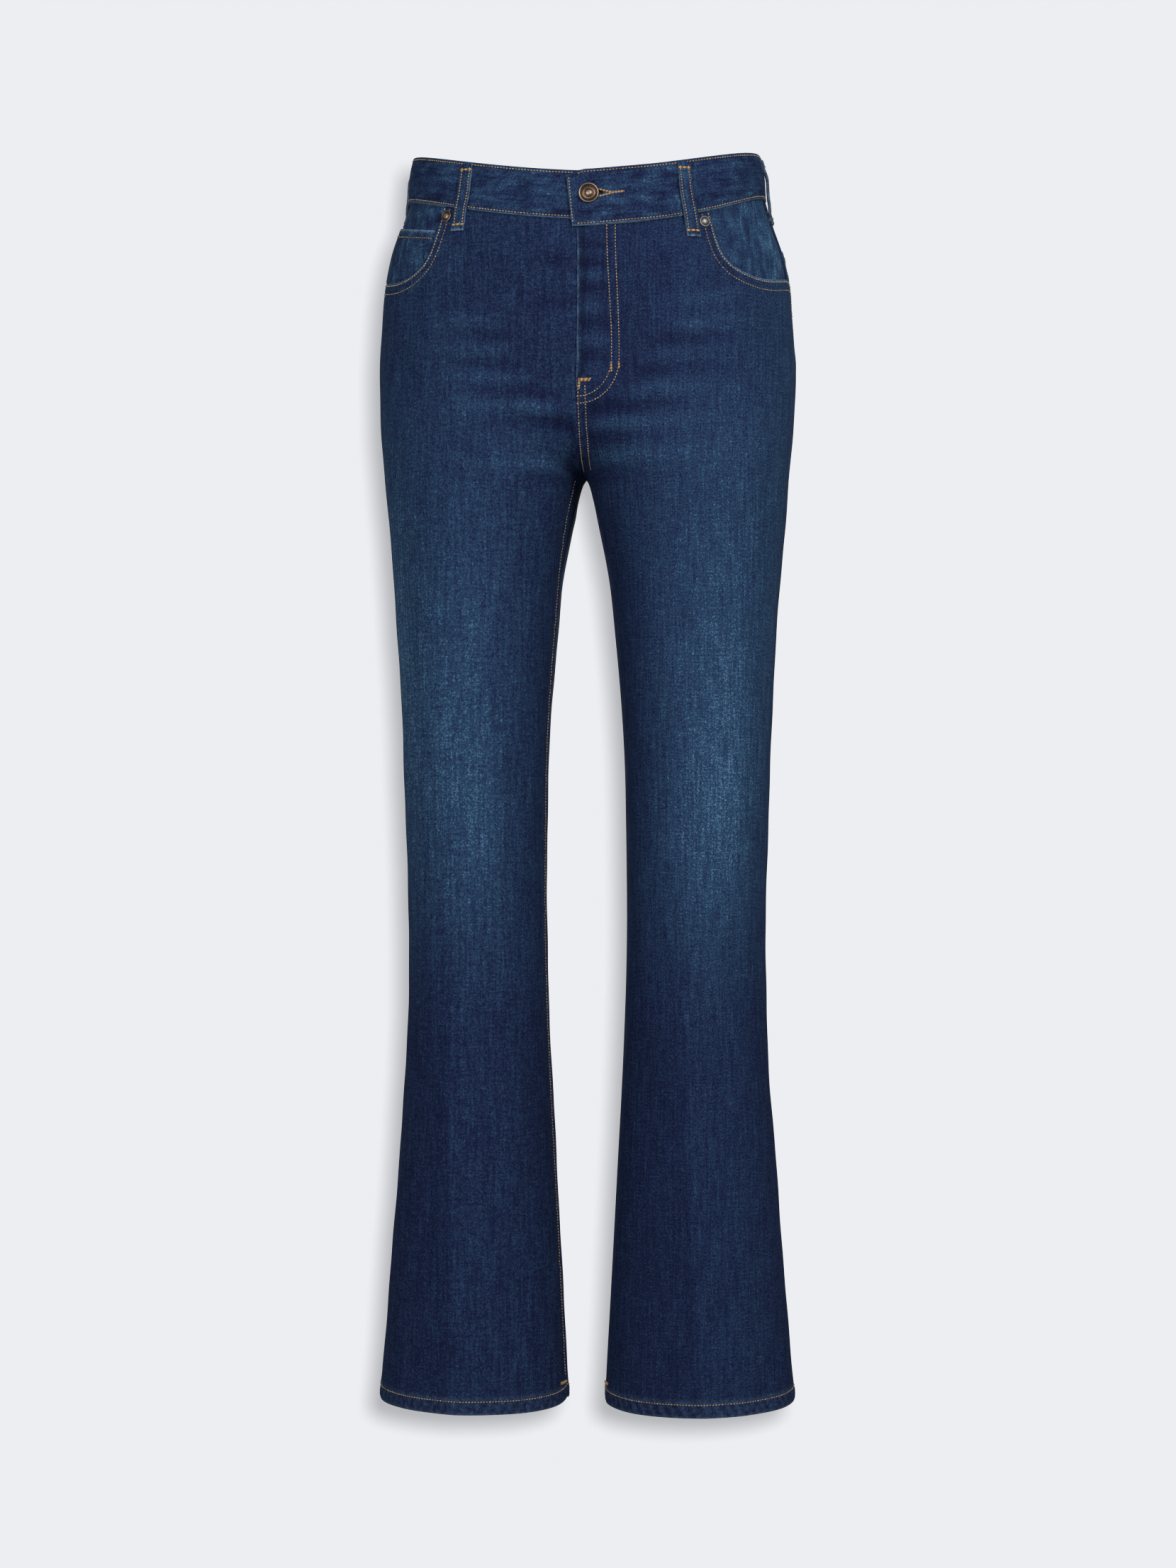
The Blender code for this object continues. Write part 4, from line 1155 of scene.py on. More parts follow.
@dataclass
class Stitches:
    """Rows of thread that lie on the cloth."""

    name: str
    sides: int = 6
    kept: list[tuple[ndarray, ...]] = field(default_factory=list)

    def add(self, start: ndarray, end: ndarray, normal: ndarray, radius: float, tone: ndarray) -> None:
        """Adds stitches from start to end, each standing on a surface with that normal."""
        self.kept.append((start, end, normal, np.full(len(start), radius), tone))

    def bar(self, form: JeansForm, half: Half, edges: Iterable[tuple], wave: float) -> None:
        """Adds a bar of close thread over the cloth.

        Args:
            form: The garment's form.
            half: The half it is on.
            edges: The bar's two long edges, each as around, heights and the cloth's lift.
            wave: How fast the thread's tone changes along it.
        """
        first, second = (
            form.stand(half, around, z, (lift + THREAD_CLEAR, lift + THREAD_CLEAR + PROBE))
            for around, z, lift in edges
        )
        normal = (first[1] - first[0]) / PROBE
        tone = 0.5 + 0.25 * np.sin(wave * np.arange(len(normal)))
        self.add(first[0], second[0], normal, CLOSE_RADIUS, tone)

    def holes(self, starts: ndarray, ends: ndarray, normals: ndarray, radius: float) -> None:
        """Adds dark thread between stitches: a painted shade for the needle holes, where the thread dives
        into the cloth.
        """
        low = -0.45 * radius * normals
        self.add(starts + low, ends + low, normals, radius, np.zeros(len(starts)))

    def build(self, material: Material) -> Object:
        """Makes all the stitches as one piece.

        Args:
            material: The thread's material.

        Returns:
            The object.
        """
        start, end, normal, radius, tone = (np.concatenate(part) for part in zip(*self.kept))
        run = end - start
        long = np.linalg.norm(run, axis=1, keepdims=True)
        run = run / long
        normal = normal - (normal * run).sum(axis=1, keepdims=True) * run
        normal /= np.linalg.norm(normal, axis=1, keepdims=True)
        side = np.cross(run, normal)
        # Each ring: its place along the stitch, its size and how high it rides, in radii.
        rings = np.array(((0.0, 0.35, -0.9), (0.10, 0.85, -0.1), (0.32, 1.0, 0.55),
                          (0.68, 1.0, 0.55), (0.90, 0.85, -0.1), (1.0, 0.35, -0.9)))
        turns = 2.0 * math.pi * np.arange(self.sides) / self.sides
        points = []
        for share, size, height in rings:
            centre = start + run * (long * share) + normal * (radius * height)[:, None]
            for turn in turns:
                round_it = side * math.cos(turn) + normal * math.sin(turn)
                points.append(centre + round_it * (radius * size)[:, None])
        block = np.stack(points, axis=1)
        count, each = block.shape[:2]
        faces = []
        for ring in range(len(rings) - 1):
            for i in range(self.sides):
                j = (i + 1) % self.sides
                low, high = ring * self.sides, (ring + 1) * self.sides
                faces.append((low + i, low + j, high + j, high + i))
        quads = (np.array(faces)[None] + each * np.arange(count)[:, None, None]).reshape(-1, 4)
        made = mesh_object(self.name, block.reshape(-1, 3), quads)
        keep_value(made, "tone", np.repeat(tone, each))
        made.data.materials.append(material)
        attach(made, "root")
        LOG.info("%s: %d stitches, %d faces", self.name, count, len(quads))
        return made


@dataclass
class Line:
    """A stitched line: its places, how far out the cloth is there, and the thread's tone."""

    half: Half
    around: ndarray
    z: ndarray
    lift: ndarray | float = 0.0
    tone: float = 0.62
    puckers: float = 0.00022


@dataclass
class Sewing:
    """Topstitching along lines on the form."""

    form: JeansForm
    rows: Stitches
    seed: int = 11
    pitch: float = 0.0025
    cover: float = 0.68
    radius: float = 0.00038

    def __post_init__(self) -> None:
        """Starts the draws for uneven stitches."""
        self.random = np.random.default_rng(self.seed)

    def sew(
        self, half: Half, around: ndarray, z: ndarray,
        lift: ndarray | float = 0.0, tone: float = 0.62, pitch: float | None = None,
    ) -> None:
        """Sews along a line of places.

        Args:
            half: The half the line is on.
            around: The line's around.
            z: Its heights.
            lift: How far outside the form the cloth's face is along it.
            tone: The thread's middle tone.
            pitch: The length of a stitch with its gap, where it isn't the usual one.
        """
        pitch = pitch or self.pitch
        around, z, lift = np.broadcast_arrays(around, z, lift)
        line = self.form.stand(half, around, z, (lift,))[0]
        along = run_along(line)
        count = int(along[-1] / pitch)
        if count < 1:
            return
        step = along[-1] / count
        starts = step * np.arange(count) + self.random.uniform(-0.04, 0.04, count) * step
        starts = np.clip(starts, 0.0, None)
        ends = np.minimum(starts + self.cover * step, along[-1])
        middle = 0.5 * (starts + ends)
        ends_of = []
        for places in (starts, ends, middle):
            a, h, up = (np.interp(places, along, values) for values in (around, z, lift))
            ends_of.append(self.form.stand(half, a, h, (up, up + PROBE)))
        start, end = ends_of[0][0], ends_of[1][0]
        normal = (ends_of[2][1] - ends_of[2][0]) / PROBE
        tones = np.clip(tone + self.random.normal(0.0, 0.12, count), 0.35, 1.0)
        self.rows.add(start, end, normal, self.radius, tones)
        if count > 1:
            between = start[1:] - end[:-1]
            self.rows.holes(end[:-1] - 0.2 * between, start[1:] + 0.2 * between, normal[:-1], self.radius)

    def sink(self, lines: Iterable[Line]) -> None:
        """Lets the cloth dip and pucker along lines, which comes before anything is built on it."""
        for line in lines:
            places = np.linspace(0, len(line.around) - 1, min(len(line.around), 60)).astype(int)
            seam = SeamLine(line.half, line.around[places], line.z[places], pucker=line.puckers)
            self.form.seams.append(seam)

    def follow(self, lines: Iterable[Line]) -> None:
        """Sews lines that the cloth already dips along."""
        for line in lines:
            self.sew(line.half, line.around, line.z, line.lift, line.tone)


def offset_line(around: ndarray, z: ndarray, distance: float) -> tuple[ndarray, ndarray]:
    """A line beside another on the cloth, to its right as it runs if the distance is above 0."""
    u = around * FLAT_SCALE
    du, dz = np.gradient(u), np.gradient(z)
    long = np.maximum(np.hypot(du, dz), 1e-9)
    return (u + distance * dz / long) / FLAT_SCALE, z - distance * du / long


@dataclass
class FrontPanel:
    """One front: from the waist seam and the pocket's edge down to the hem."""

    pattern: Pattern
    half: Half
    wash: Wash
    columns: int = 80
    patch_rows: int = 46
    underlap: float = 0.010
    underlap_z: float = -0.168
    edge_reach: float = 0.045
    corner_blend: float = 0.014

    @property
    def name(self) -> str:
        """The node it stands for."""
        return f"front_{self.half.side}"

    def top_line(self) -> tuple[ndarray, ndarray, ndarray]:
        """The panel's top edge, along the waist seam and then the pocket.

        Returns:
            Its around, its z and the distance along it, flat.
        """
        start = self.pattern.pocket_start(self.half)
        waist = np.linspace(0.0, start, 200)
        scoop_around, scoop_z = self.pattern.scoop_line(self.half)
        around = np.concatenate([waist, scoop_around[1:]])
        z = np.concatenate([self.pattern.waist_seam(self.half, waist), scoop_z[1:]])
        return around, z, run_along(flat_places(around, z))

    def patch(self, share: ndarray) -> tuple[ndarray, ndarray]:
        """Places between the top edge and the first level row.

        They leave the edge square to it and then bend down, so that rows near it follow it.

        Args:
            share: The columns, as shares of the top edge's length.

        Returns:
            Their around and z.
        """
        around, z, along = self.top_line()
        fine = np.linspace(0.0, along[-1], 1200)
        u, v = np.interp(fine, along, around) * FLAT_SCALE, np.interp(fine, along, z)
        wide = int(self.corner_blend / fine[1])
        soft = np.ones(2 * wide + 1) / (2 * wide + 1)
        square = [np.convolve(np.pad(n, wide, "edge"), soft, "valid") for n in
                  (np.gradient(v, fine), -np.gradient(u, fine))]
        at = share * along[-1]
        leave = np.stack([np.interp(at, fine, n) for n in square], axis=-1)
        leave *= self.edge_reach / np.linalg.norm(leave, axis=-1, keepdims=True)
        top = np.stack([np.interp(at, fine, u), np.interp(at, fine, v)], axis=-1)
        low = np.stack([share * FLAT_SCALE, np.full_like(share, self.pattern.join_z)], axis=-1)
        arrive = np.zeros_like(low)
        arrive[:, 1] = -0.8 * np.linalg.norm(top - low, axis=-1)
        near = np.array([0.0, 0.0005, 0.0012, 0.0022, 0.0036]) / self.edge_reach
        t = np.concatenate([near, np.linspace(near[-1], 1.0, self.patch_rows - 3)[1:]])[:, None, None]
        made = curve_between(top, leave, low, arrive, t)
        return made[..., 0] / FLAT_SCALE, made[..., 1]

    def places(self) -> tuple[ndarray, ndarray]:
        """The grid's around and z."""
        p = self.pattern
        share = columns_between(self.columns, 0.0, 1.0)
        around, z = self.patch(share)
        z[0] -= p.seam_gap / 2
        rows = p.level_rows()
        low = follow_crease(share, rows, self.half)
        around = np.concatenate([around, low])
        z = np.concatenate([z, p.leg_z(low, rows[:, None])])
        p.part_seams(around, z)
        if self.half is Half.RIGHT:
            under = z[:, 0] > self.underlap_z
            for row in np.flatnonzero(under):
                first = p.form.around_at(-self.underlap, z[row, 0])
                old = around[row, 0]
                reach = np.clip((around[row] - old) / 0.12, 0.0, 1.0)
                around[row] += (first - old) * (1.0 - reach)
        return around, z

    def build(self, finishes: Finishes) -> Object:
        """Makes the panel.

        Args:
            finishes: The garment's materials.

        Returns:
            The object.
        """
        p = self.pattern
        around, z = self.places()
        lift = np.zeros_like(z)
        from_top = np.hypot((around - around[0]) * FLAT_SCALE, z - z[0])
        on_scoop = ramp((around[0] - p.pocket_start(self.half) + 0.004) / 0.006)
        # The scoop's edge is rubbed pale, and along the waist seam the cloth is painted darker: painted shade
        # under the waistband.
        worn = bell(from_top, 0.0013) * (0.62 * on_scoop - 0.5 * (1.0 - on_scoop))
        if self.half is Half.LEFT:
            lift = p.fly_lift(around, z)
            from_fly = (around - around[:, :1]) * FLAT_SCALE
            above = ramp((z + 0.190) / 0.006)
            uneven = 0.30 + 0.16 * np.sin(z / 0.0026) * np.sin(z / 0.0071)
            worn = worn + uneven * above * bell(from_fly, 0.0009)
            # A thin line just inside the fly's edge is painted darker.
            worn = worn - 0.55 * above * bell(from_fly - 0.0028, 0.0013)
        grid = panel_grid(p, self.wash, self.name, self.half, around, z, lift, worn)
        return grid.lay(finishes, "denim", ["waistband"])


def columns_between(count: int, low: float, high: float) -> ndarray:
    """Columns of a panel: fine ones beside both seams, and even ones between them."""
    near = np.array([0.0, 0.0005, 0.0013, 0.0026]) / FLAT_SCALE
    middle = np.linspace(low + near[-1] + 0.008, high - near[-1] - 0.008, count - 2 * len(near))
    return np.concatenate([low + near, middle, (high - near)[::-1]])


def follow_crease(share: ndarray, rows: ndarray, half: Half) -> ndarray:
    """Columns for level rows, with one that follows the pressed crease down the leg.

    Args:
        share: The columns, as around.
        rows: The rows' heights.
        half: The half they are on.

    Returns:
        The around of each row and column.
    """
    base = 0.0 if share[0] < 0.5 else 1.0
    here = share - base
    middle = int(np.argmin(np.abs(here - 0.5)))
    place = column(CREASE_PLACES, half.side, rows)
    place = place if base == 0.0 else 1.0 - place
    place = here[middle] + (place - here[middle]) * ramp((-0.50 - rows) / 0.12)
    place = place[:, None]
    low = here * place / here[middle]
    high = 1.0 - (1.0 - here) * (1.0 - place) / (1.0 - here[middle])
    return base + np.where(here <= here[middle], low, high)


def panel_grid(
    pattern: Pattern, wash: Wash, name: str, half: Half,
    around: ndarray, z: ndarray, lift: ndarray, worn: ndarray | float = 0.0,
) -> ClothGrid:
    """A panel of one layer with rolled edges, doubled where its hem is turned up.

    Args:
        pattern: The garment's seams.
        wash: Its fading.
        name: The node it stands for.
        half: The half it is on.
        around: The grid's around.
        z: Its heights.
        lift: How far outside the form its face is.
        worn: How rubbed it is at its edges; below 0 it is painted shade.

    Returns:
        The panel's grid.
    """
    hem_line = pattern.leg_z(around, pattern.hem_z + pattern.hem_depth)
    above_hem = z - hem_line
    in_hem = ramp((0.0012 - above_hem) / 0.0024)
    edge = np.minimum.reduce(edge_distances(around, z))
    roll = 0.00055 * bell(edge, 0.0012)
    u = around * FLAT_SCALE
    twist = np.sin(2 * math.pi * (u / 0.0085 + (z - hem_line) / 0.016) + 1.4 * np.sin(37.0 * u))
    roping = 0.00030 * twist * ramp((0.0 - above_hem) / 0.004) * ramp((above_hem + 0.0125) / 0.004)
    outer_lift = lift + pattern.hem_proud * in_hem - roll + roping
    thickness = pattern.cloth + (pattern.double_cloth - pattern.cloth) * in_hem
    outer, inner = pattern.form.stand(half, around, z, (outer_lift, outer_lift - thickness))
    fade = wash.fade(half, around, z)
    ridge = bell(above_hem - 0.0012, 0.0010) * 0.42
    folded = 0.22 * ramp((-above_hem - 0.0100) / 0.0015)
    from_seam = np.minimum(around - around[:, :1], around[:, -1:] - around) * FLAT_SCALE
    # Painted shade: a darker line along both long seams below the hip, where the leg turns away from the
    # light.
    worn = worn - 0.40 * bell(from_seam, 0.0016) * ramp((-0.20 - z) / 0.06)
    wear = ridge + folded + 0.14 * in_hem * np.clip(twist, 0.0, 1.0) + worn
    return ClothGrid(name, outer, inner, pattern.form.grain(around, z), z, fade, wear)


@dataclass
class BackPanel:
    """One back: from the yoke seam down to the hem."""

    pattern: Pattern
    half: Half
    wash: Wash
    columns: int = 84
    patch_rows: int = 40

    @property
    def name(self) -> str:
        """The node it stands for."""
        return f"back_{self.half.side}"

    def build(self, finishes: Finishes) -> Object:
        """Makes the panel.

        Args:
            finishes: The garment's materials.

        Returns:
            The object.
        """
        p = self.pattern
        share = columns_between(self.columns, 1.0, 2.0)
        top_z = p.yoke_seam(self.half, share) - p.seam_gap / 2
        down = np.concatenate([[0.0, 0.004, 0.011, 0.022], np.linspace(0.035, 1.0, self.patch_rows)])
        rows = p.level_rows()
        low = follow_crease(share, rows, self.half)
        around = np.concatenate([np.tile(share, (len(down), 1)), low])
        z = np.concatenate([top_z + (p.join_z - top_z) * down[:, None], p.leg_z(low, rows[:, None])])
        p.part_seams(around, z)
        grid = panel_grid(p, self.wash, self.name, self.half, around, z, np.zeros_like(z))
        return grid.lay(finishes, "denim", [f"yoke_{self.half.side}"])


@dataclass
class Patch:
    """A small piece of cloth over a grid of places."""

    pattern: Pattern
    wash: Wash
    name: str
    half: Half
    around: ndarray
    z: ndarray
    lift: ndarray | float
    slot: str
    rests_on: tuple[str, ...]
    thickness: float = 0.0012
    worn_edges: tuple[float, float, float, float] = (0.0, 0.0, 0.0, 0.0)
    fade: float = 0.0
    roll: float = 0.00045

    def build(self, finishes: Finishes) -> Object:
        """Makes the piece.

        Args:
            finishes: The garment's materials.

        Returns:
            The object.
        """
        form = self.pattern.form
        edges = edge_distances(self.around, self.z)
        lift = self.lift - self.roll * bell(np.minimum.reduce(edges), 0.0011)
        outer, inner = form.stand(self.half, self.around, self.z, (lift, lift - self.thickness))
        wear = sum(worn * bell(edge, 0.0016) for worn, edge in zip(self.worn_edges, edges))
        fade = self.wash.fade(self.half, self.around, self.z) + self.fade
        across = form.grain(self.around, self.z)
        grid = ClothGrid(self.name, outer, inner, across, self.z, fade, wear)
        return grid.lay(finishes, self.slot, self.rests_on)


def spaced(count: int, low: float = 0.0, high: float = 1.0, ends: float = 0.55) -> ndarray:
    """Values from low to high that lie closer together at both ends."""
    even = np.linspace(0.0, 1.0, count)
    return low + (high - low) * (even - ends * np.sin(2 * math.pi * even) / (2 * math.pi))


def make_yoke(pattern: Pattern, wash: Wash, half: Half) -> Patch:
    """The shaped strip between the waistband and the back panel."""
    around = np.tile(spaced(80, 1.0, 2.0), (30, 1))
    top = pattern.waist_seam(half, around[0]) - pattern.seam_gap / 2
    bottom = pattern.yoke_seam(half, around[0]) + pattern.seam_gap / 2
    z = top + (bottom - top) * spaced(30)[:, None]
    pattern.part_seams(around, z)
    worn = (0.0, 0.45, 0.0, 0.3)
    return Patch(
        pattern, wash, f"yoke_{half.side}", half, around, z, 0.0, "denim", ("waistband",), worn_edges=worn
    )


def make_facing(pattern: Pattern, wash: Wash, half: Half) -> Patch:
    """The piece that shows inside the front pocket."""
    start = pattern.pocket_start(half)
    reach = float(pattern.form.step(start, -0.05, 0.012))
    behind = float(pattern.form.step(1.0, -0.05, 0.008))
    around = np.tile(np.linspace(start - reach, 1.0 + behind, 56), (30, 1))
    top = pattern.waist_seam(half, around[0]) - pattern.seam_gap
    edge = pattern.scoop_z(half, np.clip(around[0], start, 1.0))
    bottom = np.minimum(edge - 0.012, top - 0.020)
    z = top + (bottom - top) * np.linspace(0.0, 1.0, 30)[:, None]
    tuck = np.maximum(ramp((around - 0.97) / 0.03), ramp((edge + 0.005 - z) / 0.006))
    lift = -pattern.facing_sink - 0.0007 * tuck
    return Patch(
        pattern, wash, f"pocket_facing_{half.side}", half, around, z, lift, "denim_worn",
        (f"front_{half.side}",), fade=0.10, roll=0.0,
    )


@dataclass
class CoinPocket:
    """The small pocket on the right facing, between its fold and the edge of the scoop."""

    pattern: Pattern
    top_z: float = -0.0413
    top_slope: float = 0.0245
    clear: float = 0.0060
    patch_gap: float = 0.0008
    stitch_drop: float = 0.0068

    def fold_z(self, around: ndarray) -> ndarray:
        """Height of the pocket's folded top."""
        return self.top_z - self.top_slope * (1.0 - around)

    @property
    def lift(self) -> float:
        """How far outside the form its face is."""
        return -self.pattern.facing_sink + self.patch_gap + self.pattern.cloth

    def patch(self, wash: Wash) -> Patch:
        """The pocket's cloth."""
        start = self.pattern.pocket_start(R)
        share = 0.03 + 0.97 * np.linspace(0.0, 1.0, 48) ** 1.6
        around = start + (1.0 - start) * share
        bottom = self.pattern.scoop_z(R, around) + 2 * self.pattern.seam_gap
        around = around + self.clear * (1.0 - ramp(share / 0.5))
        top = self.fold_z(around)
        z = top + (bottom - top) * spaced(22)[:, None]
        around = np.tile(around, (22, 1))
        around[:, -1] -= self.pattern.form.step(around[:, -1], z[:, -1], self.pattern.seam_gap / 2)
        return Patch(
            self.pattern, wash, "coin_pocket", R, around, z, self.lift, "denim_worn",
            ("pocket_facing_right",), worn_edges=(0.85, 0.0, 0.0, 0.0), fade=0.09,
        )

    def lines(self) -> list[Line]:
        """The stitching below the fold."""
        around = np.linspace(0.512, 0.985, 60)
        return [Line(R, around, self.fold_z(around) - self.stitch_drop, self.lift, 0.42)]


@dataclass
class BackPocket:
    """A patch pocket with a pointed bottom, on the back panel."""

    pattern: Pattern
    half: Half
    around: float = 1.45
    below_yoke: float = 0.012
    top: float = 0.144
    bottom: float = 0.120
    side: float = 0.122
    point: float = 0.020
    tilt: float = math.radians(3.0)
    rise: float = 0.0011
    turned_top: float = 0.0110

    @property
    def lift(self) -> float:
        """How far outside the form its face is."""
        return self.pattern.cloth + self.rise

    def place(self, across: ndarray, down: ndarray) -> tuple[ndarray, ndarray]:
        """The place on the back of a point: across from its middle, down from its top."""
        middle_z = float(self.pattern.yoke_seam(self.half, self.around)) - self.below_yoke
        flat_x = across * math.cos(self.tilt) + down * math.sin(self.tilt)
        z = middle_z - down * math.cos(self.tilt) + across * math.sin(self.tilt)
        return self.around - self.pattern.form.step(self.around, z, 1.0) * flat_x, z

    def spread(self, share: ndarray, drop: ndarray) -> tuple[ndarray, ndarray]:
        """A place by its share across, from -1 to 1, and its share of the depth there."""
        depth = self.side + self.point * (1.0 - np.abs(share))
        width = self.top + (self.bottom - self.top) * drop
        return self.place(share * width / 2, depth * drop)

    def patch(self, wash: Wash) -> Patch:
        """The pocket's cloth."""
        across = spaced(65, -1.0, 1.0)
        across[len(across) // 2] = 0.0
        around, z = self.spread(across[None, :], spaced(62)[:, None])
        return Patch(
            self.pattern, wash, f"back_pocket_{self.half.side}", self.half, around, z, self.lift,
            "denim", (f"back_{self.half.side}",), worn_edges=(0.8, 0.5, 0.45, 0.45), fade=0.05,
            roll=0.0006,
        )

    def lines(self) -> list[Line]:
        """Two rows round the sides and the point, and one across the turned top."""
        made = []
        for inset in (0.0020, 0.0080):
            right = 1.0 - 2.0 * inset / self.top
            drop = 1.0 - inset / self.side
            share = np.concatenate([np.full(60, -right), np.linspace(-right, right, 90), np.full(60, right)])
            fall = np.linspace(0.03, drop, 60)
            around, z = self.spread(share, np.concatenate([fall, np.full(90, drop), fall[::-1]]))
            made.append(Line(self.half, around, z, self.lift, 0.60))
        share = np.linspace(-0.98, 0.98, 80)
        around, z = self.spread(share, np.full(80, self.turned_top / self.side))
        made.append(Line(self.half, around, z, self.lift, 0.60))
        return made


class BandEdge(Enum):
    """A long edge of the waistband."""

    TOP = 0
    BOTTOM = 1


@dataclass
class Waistband:
    """The folded strip at the waist, its left end lapping over the right one."""

    pattern: Pattern
    button_x: float = 0.0102
    button_z: float = -0.0290
    hole_left: float = 0.006
    hole_right: float = 0.022
    hole_height: float = 0.0036
    end_top: float = -0.0085
    end_bottom: float = -0.0029
    under_end: float = 0.022
    corner_drop: float = 0.0050
    corner_reach: float = 0.0150
    stitch_inset: float = 0.0021
    edge_round: float = 0.0010
    swell: float = 0.00035
    lap_columns: tuple[float, ...] = (1.0, 0.93, 0.70)
    columns_before_hole: int = 5
    hole_columns: int = 7

    @staticmethod
    def half_of(along: float) -> tuple[Half, float]:
        """Half and around of a place along the band: 0 is the lapping centre front, 4 the other."""
        if along < 0.0:
            return R, -along
        if along <= 2.0:
            return L, along
        if along <= 4.0:
            return R, 4.0 - along
        return L, along - 4.0

    def depth(self, along: float, around: float) -> float:
        """Height of the band at a place."""
        drop = float(self.pattern.drop(around)) if along < 2.0 else 0.0
        return float(self.pattern.band_height(around)) + drop - self.pattern.band_clear

    def lap(self, along: float, across: float) -> float:
        """How far the lapping end stands off the one underneath."""
        if along >= 1.0:
            return 0.0
        return self.pattern.lap_lift * (1.0 - float(ramp((across - 0.028) / 0.045)))

    def alongs(self) -> ndarray:
        """Places of the columns past the lap's end, with two exactly on the buttonhole's ends."""
        form = self.pattern.form
        hole = [form.around_at(x, self.button_z) for x in (self.hole_left, self.hole_right)]
        calm = form.around_at(0.075, -0.03)
        last = 4.0 + form.around_at(self.under_end, -0.03)
        parts = [
            np.linspace(0.0, hole[0], self.columns_before_hole + 1)[:-1],
            np.linspace(hole[0], hole[1], self.hole_columns + 1)[:-1],
            np.linspace(hole[1], calm, 18)[:-1],
            np.linspace(calm, 2.0, 130)[:-1],
            np.linspace(2.0, 4.0, 150)[:-1],
            np.linspace(4.0, last, 9),
        ]
        return np.concatenate(parts)

    def shares(self) -> tuple[ndarray, int]:
        """Rows of the grid as shares of the depth, and the row where the buttonhole starts."""
        form = self.pattern.form
        deep = self.depth(0.0, 0.0)
        centre = float(self.pattern.waist_top(form.around_at(self.button_x, self.button_z)))
        centre = (centre - self.button_z) / deep
        half_hole = 0.5 * self.hole_height / deep
        edge = np.array([0.0, 0.00035, 0.0008, 0.0014, 0.0021, 0.0030, 0.0044]) / deep
        upper = np.linspace(edge[-1], centre - half_hole, 6)[1:]
        lower = np.linspace(centre + half_hole, 1.0 - edge[-1], 6)
        rows = np.concatenate([edge, upper, lower[:-1], (1.0 - edge)[::-1]])
        return rows, len(edge) + len(upper) - 1

    def profile(self, from_edge: ndarray) -> ndarray:
        """Height of the band's face over its depth: round at the edges, down at the stitching."""
        rounded = -0.0011 * round_off(from_edge, self.edge_round)
        groove = -0.00030 * bell(from_edge - self.stitch_inset, 0.0009)
        return rounded + groove + self.swell * ramp((from_edge - 0.003) / 0.006)

    def place(self, along: float, share: float) -> tuple[Half, float, float, float]:
        """Half, around, height and lift of a place on the band's face."""
        half, around = self.half_of(along)
        deep = self.depth(along, around)
        top = float(self.pattern.waist_top(abs(around)))
        across = math.copysign(float(self.pattern.form.shape(abs(around), top - share * deep)[0]), along)
        if along < 1.0:
            fall = self.corner_drop * (1.0 - float(ramp((across - self.end_top) / self.corner_reach)))
            top, deep = top - fall, deep - fall
        return half, around, top - share * deep, self.pattern.band_proud + self.lap(along, across)

    def lap_end(self, share: float) -> float:
        """Where the lap ends at a share of the depth, as a place along the band."""
        x = self.end_top + (self.end_bottom - self.end_top) * share
        return self.pattern.form.around_at(x, self.button_z)

    def build(self, finishes: Finishes) -> Object:
        """Makes the band.

        Args:
            finishes: The garment's materials.

        Returns:
            The object.
        """
        form = self.pattern.form
        alongs = self.alongs()
        shares, hole_row = self.shares()
        rows, columns = len(shares), len(self.lap_columns) + len(alongs)
        half = np.empty((rows, columns), object)
        around, z, lift, deep = (np.zeros((rows, columns)) for _ in range(4))
        for i, share in enumerate(shares):
            lapping = [self.lap_end(share) * part for part in self.lap_columns]
            for j, along in enumerate([*lapping, *alongs]):
                half[i, j], around[i, j], z[i, j], lift[i, j] = self.place(along, share)
                deep[i, j] = self.depth(along, abs(around[i, j]))
        from_top, from_bottom = shares[:, None] * deep, (1.0 - shares[:, None]) * deep
        outer, inner = np.zeros((rows, columns, 3)), np.zeros((rows, columns, 3))
        from_edge = np.minimum(from_top, from_bottom)
        profile = self.profile(from_edge)
        places = np.arange(columns) * 0.0027
        wrinkle = 0.00018 * np.sin(places / 0.0021 + 2.0 * np.sin(places / 0.031))
        profile = profile + wrinkle[None, :] * bell(from_edge - 0.0035, 0.0035)
        rounded = np.minimum(profile, 0.0)
        for which in (L, R):
            mine = half == which
            made = form.stand(
                which, around[mine], z[mine],
                (lift[mine] + profile[mine], lift[mine] - self.pattern.double_cloth - rounded[mine] * 0.8),
            )
            outer[mine], inner[mine] = made
        u = run_along(outer)
        fade = 0.47 + 0.05 * np.sin(u / 0.013 + 1.0) * np.sin(u / 0.047 + from_top / 0.006)
        wear = 0.60 * bell(from_bottom, 0.0011) + 0.30 * bell(from_top, 0.0008)
        # Painted shade: the cloth is darker in the grooves along both stitch lines.
        for from_line in (from_bottom, from_top):
            wear -= 0.35 * bell(from_line - self.stitch_inset, 0.0008)
        wear += 0.3 * bell(u, 0.0009)
        kept = np.ones((rows - 1, columns - 1), bool)
        first = len(self.lap_columns) + self.columns_before_hole
        kept[hole_row, first : first + self.hole_columns] = False
        grid = ClothGrid("waistband", outer, inner, from_top, u, fade, wear, kept)
        sewn_to = ["front_left", "front_right", "yoke_left", "yoke_right"]
        return grid.lay(finishes, "denim_worn", sewn_to)

    def sew(self, sewing: Sewing) -> None:
        """Stitches the band along its top, its bottom and its lapping end."""
        for edge in BandEdge:
            for low, high in ((0.0, 2.0), (2.0, 4.06)):
                alongs = np.linspace(low + 0.002, high - 0.002, 260)
                if low == 0.0:
                    alongs = np.concatenate([[self.lap_end(0.5) * 0.70], alongs])
                self.sew_run(sewing, alongs, edge)
        found = [self.place(self.lap_end(s) * 0.75, s) for s in np.linspace(0.05, 0.95, 40)]
        around, z, lift = (np.array([f[i] for f in found], float) for i in (1, 2, 3))
        sewing.sew(R, around, z, lift + THREAD_CLEAR, 0.62)

